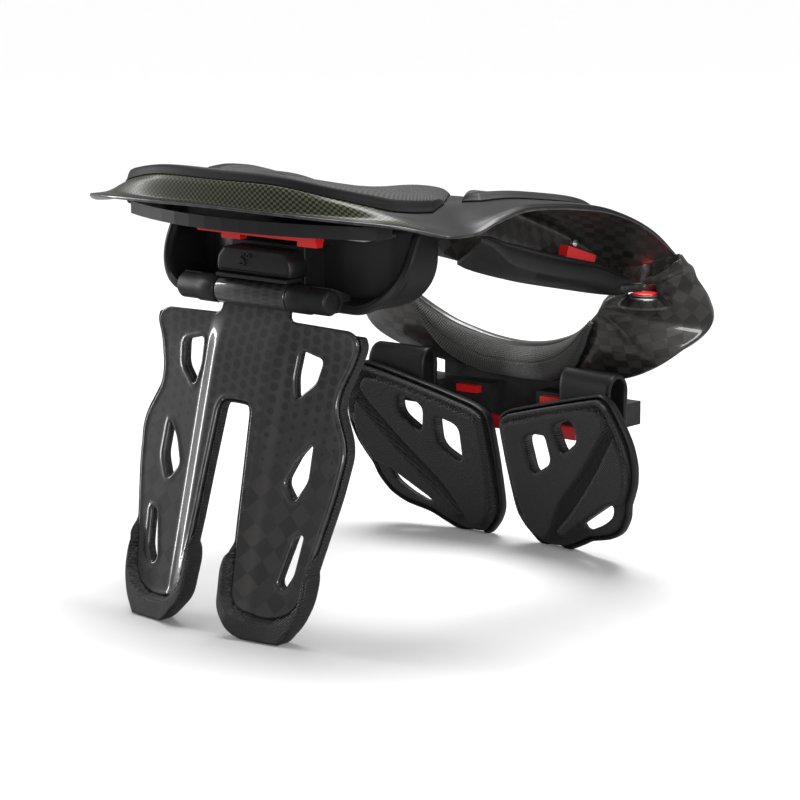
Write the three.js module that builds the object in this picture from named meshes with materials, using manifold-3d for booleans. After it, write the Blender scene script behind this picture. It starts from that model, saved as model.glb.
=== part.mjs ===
// Motocross neck brace, in millimetres with +Z up. The wearer faces +Y and the right shoulder is +X.
// Everything is placed from the axis of the strut hinge, behind the wearer's neck, and the whole
// brace is lifted at the end so that its four feet stand on Z = 0.
import * as THREE from 'three';
import { mergeVertices } from 'three/addons/utils/BufferGeometryUtils.js';
import Module from 'manifold-3d';

const wasm = await Module();
wasm.setup();
const { Manifold } = wasm;

// Driving dimensions.
const ring = { half: 156, reach: 240, rise: 80 };          // shoulder half width, hinge to seam, height of the table
const stand = 206;                                         // height of the strut hinge above the floor
const fit = 0.3;                                           // gap that touching pieces keep
const wall = { carbon: 2, plastic: 3, carrier: 2.6 };
const foam = { rear: 4.5, side: 4, front: 9, strut: 7, paddle: 9 };
const hinge = { sleeve: 8.7, pin: 3.5, running: 0.15, sleeveHalf: 29.5, knuckle: 9, knuckleEnd: 62 };
const strut = { lean: 0.257, start: 4, panel: 5, panelHalf: 31, wing: 0.12 };
const plate = { top: 50.6, thick: 8.1, half: 104, rearY: -32, frontY: 30, bow: 26 };
const tray = { half: plate.half - 1, top: 42.2, bottom: -7, wall: 6, corner: 34, rimLow: 12, rimHigh: 36, back: 32 };
const steel = { thick: 1.5, half: 92, rearY: -4, frontY: 26 };
const lockBar = { half: 50, depth: 8, height: 4.5, rearY: -1 };
const key = { half: 35, rearY: -6, frontY: 10, top: 29, foot: 12 };
const latch = { x: ring.half / 1.3, y: ring.reach + 9, top: -18, radius: 11, depth: 11, button: 8.6, buttonThick: 3.4, travel: 2.5 };
const eye = { radius: 13.5, pin: 4, cap: 7, thick: 6 };
const rail = { half: 74, top: -76, bottom: -124, thick: 6, gap: 0.2 };
const slider = { inner: 20, middle: 59, outer: 98, top: -97, bottom: -123, outerBottom: -113, thick: 15, outerThick: 25 };
const redBar = { inner: 3, outer: 57, height: 9, thick: 4 };
const redTab = { x: 37, half: 9, height: 5, thick: 6 };
const paddle = { x: 104, z: -86, y: 226, lean: 0.29, dish: 8, border: 4.5 };
const strap = { inner: 61, outer: 104, thick: 3.4, rise: 13, drop: 28 };
const sizeRail = { width: 8, length: 38, height: 7, slope: 18, turn: 2, x: ring.half * 0.69, y: ring.reach - 53, z: 5.3 };
const sizeLock = { width: 7, length: 30, height: 8, ball: 3 };

const finish = {
  carbon: { color: 0x1b1b1d, roughness: 0.22, metalness: 0.1 },
  plastic: { color: 0x17171a, roughness: 0.5, metalness: 0 },
  mesh: { color: 0x2a2928, roughness: 0.85, metalness: 0 },
  foam: { color: 0x161618, roughness: 0.7, metalness: 0 },
  red: { color: 0xd8141c, roughness: 0.35, metalness: 0 },
  steel: { color: 0xb8bcc0, roughness: 0.25, metalness: 0.95 },
};

// Sections of the rear shell, from the middle of the back to the seam at the shoulder. Each row is one
// section; each point is [x, y, z] in hundredths of ring.half, ring.reach and ring.rise.
// edge: rim of the flange; foot and top: the upright band; crest, mid: the table; neck: the edge at the
// neck; wall, bottom: the wall that hangs from it.
const rearColumns = ['edge', 'foot', 'top', 'crest', 'mid', 'neck', 'wall', 'bottom'];
const rearTable = [
  [[0, -19.2, 75], [0, -17.5, 76.9], [0, -17.1, 91.2], [0, -14.2, 93], [0, 0.8, 85], [0, 15.8, 72.5],
    [0, 17.1, 57.5], [0, 15.8, 40]],
  [[32.1, -17.5, 73.5], [32.1, -15.8, 75.4], [31.4, -15.4, 90], [30.1, -12.5, 92.5], [26.3, 1.7, 84.5],
    [18.6, 17.1, 72.8], [19.2, 18.3, 57.5], [17.9, 17.5, 38.8]],
  [[62.8, -12.9, 71], [59.6, -10.8, 72.6], [56.4, -10, 82.5], [51.3, -6.7, 86.2], [43.6, 8.3, 80.5],
    [33.3, 23.3, 73], [34, 24.2, 55], [32.7, 23.8, 36.2]],
  [[83.3, -6.7, 68], [78.2, -4.2, 69.6], [73.7, -2.1, 73.8], [66, 3.3, 80], [55.1, 15.8, 78.1],
    [41.7, 30.4, 75], [42.9, 30.8, 52.5], [41.7, 30.8, 32.5]],
  [[94.2, 2.5, 60.6], [90.4, 4.2, 63.1], [84.6, 6.7, 67.5], [71.8, 14.2, 76.2], [59.6, 25, 75],
    [46.2, 37.9, 72.5], [48.1, 38.3, 48.8], [46.2, 37.9, 26.2]],
  [[96.2, 12.5, 59.4], [93.6, 13.8, 61.9], [87.2, 15.8, 66.2], [73.1, 22.9, 73.8], [61.5, 32.5, 72.5],
    [48.7, 44.6, 70], [50.6, 45, 43.8], [48.7, 44.6, 20]],
  [[97.1, 21.7, 66.2], [95.2, 22.5, 68.8], [90.4, 24.2, 71.2], [76.3, 30.8, 75], [63.5, 39.6, 71.2],
    [50.6, 50.4, 66.2], [52.6, 50.8, 38.8], [50.6, 50.4, 13.8]],
  [[97.4, 32.5, 71.2], [96.2, 32.9, 73.1], [92.9, 34.2, 75], [79.5, 40.4, 75], [66, 47.9, 68.8],
    [51.9, 57.5, 61.3], [53.8, 57.9, 32.5], [52.6, 57.5, 7.5]],
  [[97.4, 45, 69.4], [96.5, 45.4, 71.2], [94.2, 46.7, 72.5], [84.6, 51.7, 71.2], [68.6, 57.5, 63.7],
    [53.8, 65.4, 53.8], [55.8, 65.8, 25], [55.1, 65.4, 1.2]],
  [[97.4, 55.4, 65.6], [96.8, 55.8, 67.5], [95.5, 56.7, 68.8], [89.7, 59.6, 67.5], [71.8, 65.8, 57.5],
    [55.8, 72.9, 45], [58.3, 73.3, 17.5], [57.7, 72.9, -3.8]],
  [[98.1, 66.7, 60], [97.8, 67.1, 61.3], [97.1, 67.5, 62.5], [93.6, 69.2, 60.6], [75, 75, 48.8],
    [58.3, 80.8, 35], [60.3, 81.2, 11.2], [60.3, 80.8, -8.8]],
  [[99.4, 78.3, 48.8], [99.4, 78.8, 49.6], [98.7, 79.2, 50], [95.5, 80.8, 48.1], [77.6, 85.4, 36.2],
    [60.9, 88.8, 22.5], [62.8, 89.2, 3.8], [62.8, 88.8, -13.8]],
  [[100, 87.9, 34.4], [100, 88.3, 35], [99.4, 88.8, 35], [96.2, 90.4, 33.1], [79.5, 92.9, 21.2],
    [62.8, 95.4, 10.6], [64.7, 95.8, -3.8], [64.7, 95.4, -17.5]],
  [[100, 96.7, 16.2], [100, 96.9, 16.6], [99.4, 97.1, 16.6], [96.2, 98.3, 15], [80.8, 100, 6.2],
    [65.4, 101.2, -1.2], [66.7, 101.5, -10], [66.7, 101.2, -20]],
];

// Sections of the front shell, from the seam at the shoulder to the middle of the chest, in the same
// hundredths: the edge at the neck and the outer edge.
const frontTable = [
  [[63.8, 101.6, -24], [99.2, 99.6, 11.2]],
  [[61.5, 101.7, -28], [100.6, 105.8, -10]],
  [[57.7, 101.5, -33.8], [100.6, 112.5, -30]],
  [[53.8, 102.5, -40.6], [98.7, 115.4, -50]],
  [[50, 103.3, -47.5], [89.7, 110, -70]],
  [[42.3, 105.4, -58.8], [78.8, 107.9, -86.2]],
  [[32.1, 107.5, -70], [62.2, 109.6, -100]],
  [[20.5, 109.6, -77.5], [41, 111.7, -108.7]],
  [[10.3, 110.8, -81.2], [20.5, 112.9, -112.5]],
  [[0, 111.2, -82.5], [0, 113.3, -113.8]],
];

// Outer line of the shoulder arm, by section number of the rear shell, in the same hundredths, and the
// height of its lip as a share of ring.rise.
const armTable = [
  { section: 4.9, lip: [95.5, 15.4, 56.2], height: 5 },
  { section: 5.5, lip: [92.3, 22.9, 52.5], height: 8.8 },
  { section: 6.3, lip: [88.8, 31, 45.6], height: 13.5 },
  { section: 7, lip: [85.3, 38.8, 40.6], height: 17 },
  { section: 8, lip: [81.4, 51.7, 31.2], height: 18 },
  { section: 9, lip: [78.5, 63.3, 23], height: 17.5 },
  { section: 10, lip: [76.6, 74.2, 15.6], height: 16.2 },
  { section: 11, lip: [75.3, 84.2, 8.8], height: 16.2 },
  { section: 12, lip: [75, 92.5, 0], height: 15 },
  { section: 12.75, lip: [76, 97, -6], height: 12.5 },
];

// Where the pads end on the table, by section number: the column between the band and the neck.
const rearPadRim = [[0, 2.62], [1, 2.6], [2, 2.4], [3, 2.3], [4, 2.55], [4.55, 3.1]];
const sidePadRim = [[5.35, 3.4], [6, 3.0], [7, 2.95], [8, 2.95], [9, 3.0], [9.9, 3.2]];
const frontPadRim = [[4.3, 0.06], [5, 0.14], [6, 0.34], [7, 0.66], [8, 0.97], [9, 1]];

// Outline of a paddle and its windows, [x, z] in hundredths of ring.half and ring.rise.
const paddleOutline = [[3.2, -145], [9, -135], [19, -129], [38, -119], [61, -107.5], [66.7, -106], [72, -113],
  [76.3, -129], [79.5, -147], [80.1, -165], [78.2, -182], [75, -195], [72.4, -204], [70.5, -216],
  [65.4, -230], [57.7, -239], [46, -245], [38.5, -252], [29, -259.5], [17, -259.5], [9, -246],
  [4.5, -230], [3.2, -206], [2.6, -175]];
const paddleWindows = {
  inner: [[18.6, -156], [30.8, -149], [32, -176], [19.9, -190]],
  outer: [[36.5, -141], [48.7, -132], [50.6, -150], [39.7, -166]],
  slot: [[62.8, -205], [54, -216], [42.3, -231], [46, -234], [55, -226], [61.5, -216]],
};

// Outline of one half of the strut, its windows and its foot, in the same hundredths.
const strutOutline = [[0, -5], [18.4, -5], [18.6, -18.5], [49.4, -20], [53.2, -24], [54.5, -32], [48, -66],
  [47.4, -80], [53.8, -104], [55, -115], [53.2, -145], [50, -175], [46.8, -206], [45.5, -222],
  [42, -234], [34, -241], [25, -241], [17.3, -236], [13.5, -226], [12.8, -205], [11.5, -175], [10.3, -134],
  [8.7, -88], [7, -82], [0, -81]];
const strutWindows = {
  upper: [[26.3, -38.5], [37.8, -44], [36, -62], [27.6, -76.5], [25.6, -60]],
  middle: [[39.1, -106], [33.3, -119], [28.8, -139], [34.6, -152], [39.5, -135]],
  lower: [[41.7, -175], [38, -177], [33.3, -214], [36.5, -218], [40, -206]],
};
const footOutline = [[7.5, -199], [6, -206], [7.5, -236], [16, -252], [28, -262], [40, -262], [46.5, -238],
  [48.5, -212], [40, -188], [13, -188]];

// Turns shares into millimetres.
const point = ([x, y, z]) => new THREE.Vector3(x * ring.half, y * ring.reach, z * ring.rise).divideScalar(100);
const flat = ([x, z]) => [(x * ring.half) / 100, (z * ring.rise) / 100];

const mirrorX = (v) => new THREE.Vector3(-v.x, v.y, v.z);
const { clamp, smoothstep, lerp } = THREE.MathUtils;

// Value at place t along a list of vectors, on a Catmull-Rom curve.
function along(list, t) {
  const i = clamp(Math.floor(t), 0, list.length - 2);
  const at = (k) => {
    if (k < 0) return list[0].clone().multiplyScalar(2).sub(list[1]);
    if (k >= list.length) return list.at(-1).clone().multiplyScalar(2).sub(list.at(-2));
    return list[k];
  };
  const f = t - i;
  const blend = (axis) => {
    const [a, b, c, d] = [at(i - 1)[axis], at(i)[axis], at(i + 1)[axis], at(i + 2)[axis]];
    return 0.5 * (2 * b + (c - a) * f + (2 * a - 5 * b + 4 * c - d) * f * f + (3 * b - a - 3 * c + d) * f ** 3);
  };
  return new THREE.Vector3(blend('x'), blend('y'), blend('z'));
}

// Linear reading of a list of [place, value] pairs.
function reading(pairs, place) {
  const next = pairs.findIndex(([p]) => p >= place);
  if (next <= 0) return next === 0 ? pairs[0][1] : pairs.at(-1)[1];
  const [[p0, v0], [p1, v1]] = [pairs[next - 1], pairs[next]];
  return v0 + ((v1 - v0) * (place - p0)) / (p1 - p0);
}

// A surface over a table of sections, mirrored at its middle section. Section 0 is the middle, and
// negative numbers are the left side.
function surfaceOver(table, middleFirst) {
  const rows = table.map((row) => row.map(point));
  const half = middleFirst ? rows : [...rows].reverse();
  const all = [...half.slice(1).reverse().map((row) => row.map(mirrorX)), ...half];
  const last = half.length - 1;
  const place = (section, column) => along(all.map((row) => along(row, column)), section + last);
  const normal = (section, column) => {
    const d = 0.05;
    const s = place(section + d, column).sub(place(section - d, column));
    const c = place(section, column + d).sub(place(section, column - d));
    return s.cross(c).normalize();
  };
  return { place, normal, last };
}

// Solid from points and triangles, turned so that its faces look outwards.
function solidFrom(points, faces) {
  const volume = faces.reduce((sum, [a, b, c]) => {
    return sum + points[a].dot(new THREE.Vector3().crossVectors(points[b], points[c]));
  }, 0);
  const turned = volume < 0 ? faces.map(([a, b, c]) => [a, c, b]) : faces;
  const mesh = new wasm.Mesh({
    numProp: 3,
    vertProperties: new Float32Array(points.flatMap((p) => [p.x, p.y, p.z])),
    triVerts: new Uint32Array(turned.flat()),
  });
  mesh.merge();
  return new Manifold(mesh);
}

// Solid from a three.js geometry, with its shared corners merged.
function solid(geometry) {
  geometry.deleteAttribute('normal');
  geometry.deleteAttribute('uv');
  const merged = mergeVertices(geometry, 1e-4);
  return new Manifold(new wasm.Mesh({
    numProp: 3,
    vertProperties: new Float32Array(merged.attributes.position.array),
    triVerts: new Uint32Array(merged.index.array),
  }));
}

// Solid seen in a mirror at X = 0.
function mirrored(body) {
  const { numProp, vertProperties: v, triVerts: t } = body.getMesh();
  const points = Array.from({ length: v.length / numProp }, (_, k) => {
    return new THREE.Vector3(-v[k * numProp], v[k * numProp + 1], v[k * numProp + 2]);
  });
  const faces = Array.from({ length: t.length / 3 }, (_, k) => [t[3 * k], t[3 * k + 1], t[3 * k + 2]]);
  return solidFrom(points, faces);
}

// Closed solid between two grids of points of the same size.
function between(outer, inner) {
  const rows = outer.length;
  const columns = outer[0].length;
  const points = [...outer.flat(), ...inner.flat()];
  const at = (side, r, c) => side * rows * columns + r * columns + c;
  const faces = [];
  const quad = (a, b, c, d) => faces.push([a, b, c], [a, c, d]);
  for (let r = 0; r < rows - 1; r += 1) {
    for (let c = 0; c < columns - 1; c += 1) {
      quad(at(0, r, c), at(0, r + 1, c), at(0, r + 1, c + 1), at(0, r, c + 1));
      quad(at(1, r, c), at(1, r, c + 1), at(1, r + 1, c + 1), at(1, r + 1, c));
    }
    quad(at(0, r, 0), at(1, r, 0), at(1, r + 1, 0), at(0, r + 1, 0));
    quad(at(0, r, columns - 1), at(0, r + 1, columns - 1), at(1, r + 1, columns - 1), at(1, r, columns - 1));
  }
  for (let c = 0; c < columns - 1; c += 1) {
    quad(at(0, 0, c), at(0, 0, c + 1), at(1, 0, c + 1), at(1, 0, c));
    quad(at(0, rows - 1, c), at(1, rows - 1, c), at(1, rows - 1, c + 1), at(0, rows - 1, c + 1));
  }
  return solidFrom(points, faces);
}

// Closed solid through a row of rings of points, with flat ends.
function through(rings) {
  const count = rings[0].length;
  const points = rings.flat();
  const faces = [];
  for (let r = 0; r < rings.length - 1; r += 1) {
    for (let k = 0; k < count; k += 1) {
      const [a, b] = [r * count + k, r * count + ((k + 1) % count)];
      faces.push([a, b, b + count], [a, b + count, a + count]);
    }
  }
  const end = (rings.length - 1) * count;
  for (let k = 0; k < count / 2 - 1; k += 1) {
    const [a, b, c, d] = [k, k + 1, count - 2 - k, count - 1 - k];
    faces.push([a, c, b], [a, d, c], [end + a, end + b, end + c], [end + a, end + c, end + d]);
  }
  return solidFrom(points, faces);
}

// Curved slab over the XZ plane: its rear face and front face are functions of x and z.
function slab(xs, zs, rearFace, frontFace) {
  const grid = (face) => xs.map((x) => zs.map((z) => new THREE.Vector3(x, face(x, z), z)));
  return between(grid(rearFace), grid(frontFace));
}
const steps = (from, to, count) => Array.from({ length: count + 1 }, (_, k) => lerp(from, to, k / count));
const bothSides = (list) => [...list.filter((x) => x > 0).reverse().map((x) => -x), ...list];

// Smooth closed outline through a few corners.
function rounded(corners, count, tension = 0.35) {
  const loop = corners.map(([x, y]) => new THREE.Vector3(x, y, 0));
  const curve = new THREE.CatmullRomCurve3(loop, true, 'catmullrom', tension);
  return curve.getPoints(count).slice(0, -1).map((p) => [p.x, p.y]);
}

// Outline moved outwards by a distance, or inwards by a negative one.
function grown(outline, distance) {
  const area = outline.reduce((sum, [x, y], k) => {
    const [u, v] = outline[(k + 1) % outline.length];
    return sum + x * v - u * y;
  }, 0);
  return outline.map(([x, y], k) => {
    const [x0, y0] = outline.at(k - 1);
    const [x1, y1] = outline[(k + 1) % outline.length];
    const length = Math.hypot(x1 - x0, y1 - y0) * Math.sign(area);
    return [x + ((y1 - y0) * distance) / length, y - ((x1 - x0) * distance) / length];
  });
}
const otherSide = (outline) => outline.map(([x, z]) => [-x, z]);

// Straight bodies: an outline extruded along Z, Y or X, a box, an upright post and a rod along X.
function extruded(outline, depth) {
  const shape = new THREE.Shape(outline.map(([x, y]) => new THREE.Vector2(x, y)));
  return new THREE.ExtrudeGeometry(shape, { depth, bevelEnabled: false });
}
const prismZ = (outline, z0, z1) => solid(extruded(outline, z1 - z0).translate(0, 0, z0));
const prismY = (outline, y0, y1) => solid(extruded(outline, y1 - y0).rotateX(Math.PI / 2).translate(0, y1, 0));
function boxGeometry(x0, x1, y0, y1, z0, z1) {
  return new THREE.BoxGeometry(x1 - x0, y1 - y0, z1 - z0)
    .translate((x0 + x1) / 2, (y0 + y1) / 2, (z0 + z1) / 2);
}
const box = (...sides) => solid(boxGeometry(...sides));
function post(x, y, z0, z1, radius, sides = 20) {
  const cylinder = new THREE.CylinderGeometry(radius, radius, z1 - z0, sides);
  return solid(cylinder.rotateX(Math.PI / 2).translate(x, y, (z0 + z1) / 2));
}
function rodX(x0, x1, radius, sides = 24) {
  const cylinder = new THREE.CylinderGeometry(radius, radius, x1 - x0, sides);
  return solid(cylinder.rotateZ(Math.PI / 2).translate((x0 + x1) / 2, 0, 0));
}
const joined = (bodies) => bodies.reduce((whole, body) => whole.add(body));
const cut = (body, tools) => tools.reduce((rest, tool) => rest.subtract(tool), body);

// Rear shell: one thin carbon skin over all sections of the rear half. The skin between two offsets
// also cuts the pieces that lie against it.
const rear = surfaceOver(rearTable, true);
const rearEnd = rearColumns.length - 1;
const rearOutward = (section, column) => rear.normal(section, clamp(column, 0.06, rearEnd - 0.06));
function rearSkin(above, below) {
  const rows = 34;
  const columns = 11;
  const grid = (offset) => steps(-rear.last, rear.last, rows).map((section) => {
    return steps(0, rearEnd, columns).map((column) => {
      return rear.place(section, column).addScaledVector(rearOutward(section, column), offset);
    });
  });
  return between(grid(above), grid(-below));
}
const rearShell = () => rearSkin(0, wall.carbon);
const rearClearance = rearSkin(fit, wall.carbon + fit);
const rearCover = rearSkin(0.6, wall.carbon + 4);

// Pad that lies on the rear shell between two sections, from its rim to the neck and over its edge.
function rearSkinPad(first, last, rim, reach, thickness) {
  const rows = Math.max(7, Math.round((last - first) * 1.6));
  const grid = (height) => steps(0, 1, rows).map((t) => {
    const section = lerp(first, last, t);
    const start = reading(rim, Math.abs(section));
    const ends = 1 - Math.abs(2 * t - 1) ** 8;
    return steps(0, 1, 6).map((across) => {
      const column = lerp(start, reach, across);
      const puff = 0.3 + 0.7 * ends * (1 - Math.abs(2 * across - 1) ** 6);
      return rear.place(section, column).addScaledVector(rearOutward(section, column), height(puff));
    });
  });
  return between(grid((puff) => fit + thickness * puff), grid(() => -1.2)).subtract(rearCover);
}

// Shoulder arm: the floor of the open side channel with its raised lip, and the tongue at its end.
const tongueTop = latch.top + 9;
const tongueOutline = [[-12, -26], [-1, -24], [3, -14], [8, -4], [-8, -2], [-12.5, -12]]
  .map(([x, y]) => [latch.x + x, latch.y + y]);
function shoulderArm() {
  const lips = armTable.map((row) => point(row.lip));
  const rings = steps(0, armTable.length - 1, 13).map((t) => {
    const k = clamp(Math.floor(t), 0, armTable.length - 2);
    const section = lerp(armTable[k].section, armTable[k + 1].section, t - k);
    const height = (lerp(armTable[k].height, armTable[k + 1].height, t - k) * ring.rise) / 100;
    const lip = along(lips, t);
    const inner = rear.place(section, rearEnd);
    const out = lip.clone().sub(inner).setZ(0).normalize();
    const from = inner.clone().addScaledVector(out, -1.5);
    from.z -= 1.2;
    const low = lip.z - height;
    const thick = Math.min(wall.plastic, height * 0.5);
    const at = (base, shift, z) => base.clone().addScaledVector(out, shift).setZ(z);
    const middle = from.clone().lerp(lip, 0.55);
    const floor = (from.z + low) / 2 + 1;
    return [at(from, 0, from.z), at(middle, 0, floor), at(lip, -thick - 1, low + thick),
      at(lip, -thick, lip.z), at(lip, 0, lip.z), at(lip, 1.2, low + height * 0.45), at(lip, -1, low),
      at(middle, 0, floor - thick), at(from, 1, from.z - thick), at(from, 0, from.z - thick * 0.6)];
  });
  const tongue = prismZ(rounded(tongueOutline, 24), tongueTop - eye.thick, tongueTop);
  return through(rings).add(tongue);
}
const seat = (radius) => post(latch.x, latch.y, latch.top - 60, latch.top + 60, radius);
const latchArm = () => shoulderArm().subtract(seat(latch.radius + fit));
function hingeArm() {
  const barrel = post(latch.x, latch.y, tongueTop - eye.thick, tongueTop, eye.radius);
  const under = post(latch.x, latch.y, tongueTop - 40, tongueTop - eye.thick, eye.radius + 4);
  const bore = seat(eye.pin + hinge.running);
  return mirrored(shoulderArm().subtract(under).add(barrel).subtract(bore));
}

// Front shell: a thin carbon band from shoulder to shoulder, hollowed towards the body, with turned
// rims and pockets for the latch and the hinge.
const front = surfaceOver(frontTable, false);
const bandHollow = 4;
const bandRim = 5;
function frontForward(section, column) {
  const normal = front.normal(section, clamp(column, 0.1, 0.9));
  return normal.y < 0 ? normal.negate() : normal;
}
const frontPlace = (section, column, offset) => {
  const depth = offset - bandHollow * Math.sin(Math.PI * clamp(column, 0, 1));
  return front.place(section, column).addScaledVector(frontForward(section, 0.5), depth);
};
function frontSkin(grow) {
  const rows = steps(-front.last, front.last, 26);
  const thick = wall.carbon;
  const grids = rows.map((section) => {
    const forward = frontForward(section, 0.5);
    const inside = [0, 0.2, 0.5, 0.8, 1].map((column) => frontPlace(section, column, -grow));
    const across = inside.at(-1).clone().sub(inside[0]).normalize();
    const lift = (p, height, inset) => p.clone().addScaledVector(forward, height).addScaledVector(across, inset);
    const [low, high] = [inside[0], inside.at(-1)];
    const body = [lift(low, bandRim + grow, -grow), lift(low, 0, -grow), ...inside.slice(1, -1),
      lift(high, 0, grow), lift(high, bandRim + grow, grow)];
    const under = [lift(low, bandRim + grow, thick + grow), lift(low, thick + 2 * grow, thick + grow),
      ...inside.slice(1, -1).map((p) => lift(p, thick + 2 * grow, 0)),
      lift(high, thick + 2 * grow, -thick - grow), lift(high, bandRim + grow, -thick - grow)];
    return [body, under];
  });
  return between(grids.map(([body]) => body), grids.map(([, under]) => under));
}
function frontShell() {
  const tongueRoom = prismZ(grown(rounded(tongueOutline, 24), 1.2), tongueTop - eye.thick - 1, tongueTop + 40);
  const eyeRoom = mirrored(post(latch.x, latch.y, tongueTop - eye.thick - 1, tongueTop + 60, eye.radius + 1.4));
  const room = post(latch.x, latch.y, latch.top - latch.depth - fit, latch.top + 60, latch.radius + fit);
  // The corner over the hinge is cut back, so that it passes the rear shell while the ring opens.
  const corner = box(-ring.half - 20, -ring.half + 8, ring.reach - 20, ring.reach + 7, ring.rise * 0.12, ring.rise);
  const rooms = [tongueRoom, mirrored(tongueRoom), eyeRoom, room, mirrored(room), rearClearance];
  return cut(frontSkin(0), [...rooms, corner]);
}

// Neck pad on the body side of the front shell.
function frontPad() {
  const first = front.last - frontPadRim[0][0];
  const grid = (height) => steps(-1, 1, 20).map((t) => {
    const section = first * t;
    const reach = reading(frontPadRim, front.last - Math.abs(section));
    const ends = 1 - Math.abs(t) ** 4;
    return steps(0, 1, 5).map((across) => {
      const puff = 0.22 + 0.78 * ends * (1 - Math.abs(2 * across - 1) ** 3);
      return frontPlace(section, reach * across, height(puff));
    });
  });
  return between(grid((puff) => -foam.front * puff - fit), grid(() => 1)).subtract(frontSkin(fit));
}

// Latch on the right shoulder and hinge on the left one.
function latchHousing() {
  const body = post(latch.x, latch.y, latch.top - latch.depth, latch.top, latch.radius);
  const floor = latch.top + 1 - latch.buttonThick - latch.travel - fit;
  return body.subtract(post(latch.x, latch.y, floor, latch.top + 1, latch.button + fit));
}
function releaseButton() {
  return post(latch.x, latch.y, latch.top + 1 - latch.buttonThick, latch.top + 1, latch.button);
}
const hingeTop = tongueTop - eye.thick - fit;
const hingeHousing = () => mirrored(post(latch.x, latch.y, latch.top - latch.depth, hingeTop, latch.radius));
const hingePin = () => mirrored(joined([
  post(latch.x, latch.y, hingeTop + fit, tongueTop + fit + 1, eye.pin),
  post(latch.x, latch.y, tongueTop + fit, tongueTop + fit + 2.4, eye.cap),
]));

// Strut: a carbon plate that leans back, with a raised middle panel, hung from its hinge sleeve.
const strutFull = [...strutOutline, ...otherSide(strutOutline.slice(1, -1)).reverse()].map(flat);
const strutLoop = rounded(strutFull, strutFull.length * 1.5, 0.25);
const strutXs = bothSides([0, 22, 26, 30, 34, 38, 92]);
const strutZs = [-212, -40, -30, -22, -14, -6, 0];
const strutFace = (offset) => (x, z) => {
  const panel = strut.panel * (1 - smoothstep(Math.abs(x), strut.panelHalf - 9, strut.panelHalf + 7));
  const wings = strut.wing * Math.max(0, Math.abs(x) - strut.panelHalf);
  return strut.start + strut.lean * z + offset + (wings - panel) * smoothstep(-z, 6, 40);
};
function windowPrisms(windows, grow, y0, y1) {
  return Object.values(windows).map((corners) => {
    return prismY(grown(rounded(corners.map(flat), corners.length * 2, 0.3), grow), y0, y1);
  });
}
function strutWindowPrisms(grow) {
  const prisms = windowPrisms(strutWindows, grow, -90, 60);
  return [...prisms, ...prisms.map(mirrored)];
}
function strutPlate() {
  const sheet = slab(strutXs, strutZs, strutFace(-2.6), strutFace(0)).intersect(prismY(strutLoop, -90, 60));
  const sleeve = rodX(-hinge.sleeveHalf, hinge.sleeveHalf, hinge.sleeve);
  const bore = rodX(-hinge.sleeveHalf - 9, hinge.sleeveHalf + 9, hinge.pin + hinge.running);
  return cut(sheet.add(sleeve), [bore, ...strutWindowPrisms(0)]);
}
function strutPad() {
  const top = -0.24 * ring.rise;
  const foot = prismY(rounded(footOutline.map(flat), 20, 0.3), -90, 60);
  const outline = joined([prismY(grown(strutLoop, 2.2), -90, 60), foot, mirrored(foot)]);
  const pad = slab(strutXs, strutZs, strutFace(fit + 0.05), strutFace(fit + foam.strut)).intersect(outline);
  const above = box(-200, 200, -90, 90, top, 60);
  return cut(pad, [above, floorBelow, ...strutWindowPrisms(1.2)]);
}
const floorBelow = box(-300, 300, -100, 400, -stand - 60, -stand);

// Bracket: an open tray under the table, with the knuckles of the strut hinge.
function strutBracket() {
  const outline = (inset, top) => {
    const [half, low, radius] = [tray.half - inset, tray.bottom + inset, tray.corner - inset];
    const turn = steps(0, Math.PI / 2, 4).map((angle) => {
      return [half - radius + radius * Math.cos(angle), low + radius - radius * Math.sin(angle)];
    });
    return [[half, top], ...turn, ...otherSide(turn).reverse(), [-half, top]];
  };
  const rise = (z) => clamp((z - tray.bottom) / (tray.top - tray.bottom), 0, 1);
  const out = (x) => smoothstep(Math.abs(x), 50, tray.half);
  const rim = (x, z) => lerp(tray.rimLow, tray.rimHigh, rise(z) * out(x));
  const back = (x) => tray.back + 20 * smoothstep(Math.abs(x), 40, tray.half);
  const xs = bothSides([0, 50, 68, 86, tray.half + 1]);
  const zs = [tray.bottom - 1, 18, tray.top + 5];
  const whole = slab(xs, zs, rim, back).intersect(prismY(outline(0, tray.top), -20, 90));
  const inside = slab(xs, zs, (x, z) => rim(x, z) - 6, (x) => back(x) - tray.wall * 0.6);
  const hollow = inside.intersect(prismY(outline(tray.wall, tray.top + 4), -20, 90));
  const keySeat = box(-key.half + 4, key.half - 4, key.frontY + fit, tray.back - 1, tray.bottom + 1, key.top + 2);
  const knuckles = [1, -1].flatMap((side) => {
    const ends = [hinge.sleeveHalf + 1, hinge.knuckleEnd].map((x) => side * x).sort((a, b) => a - b);
    return [rodX(...ends, hinge.knuckle), box(...ends, 0, tray.rimLow + 6, tray.bottom, 1)];
  });
  const bore = rodX(-hinge.knuckleEnd - 1, hinge.knuckleEnd + 1, hinge.pin + hinge.running);
  return joined([whole.subtract(hollow), keySeat, ...knuckles]).subtract(bore);
}
const strutPin = () => rodX(-hinge.knuckleEnd, hinge.knuckleEnd, hinge.pin);

function angleKey() {
  const [x, low, high, turn] = [key.half, key.foot, key.top, 4];
  const face = [[-x, low + turn], [-x + turn, low], [x - turn, low], [x, low + turn],
    [x, high - 2 * turn], [x - 2 * turn, high], [-x + 2 * turn, high], [-x, high - 2 * turn]];
  const ledge = box(-x + 1, x - 1, key.rearY - 2, key.frontY - 3, hinge.sleeve + 0.6, key.foot + 4);
  return prismY(face, key.rearY, key.frontY).add(ledge);
}

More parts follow.
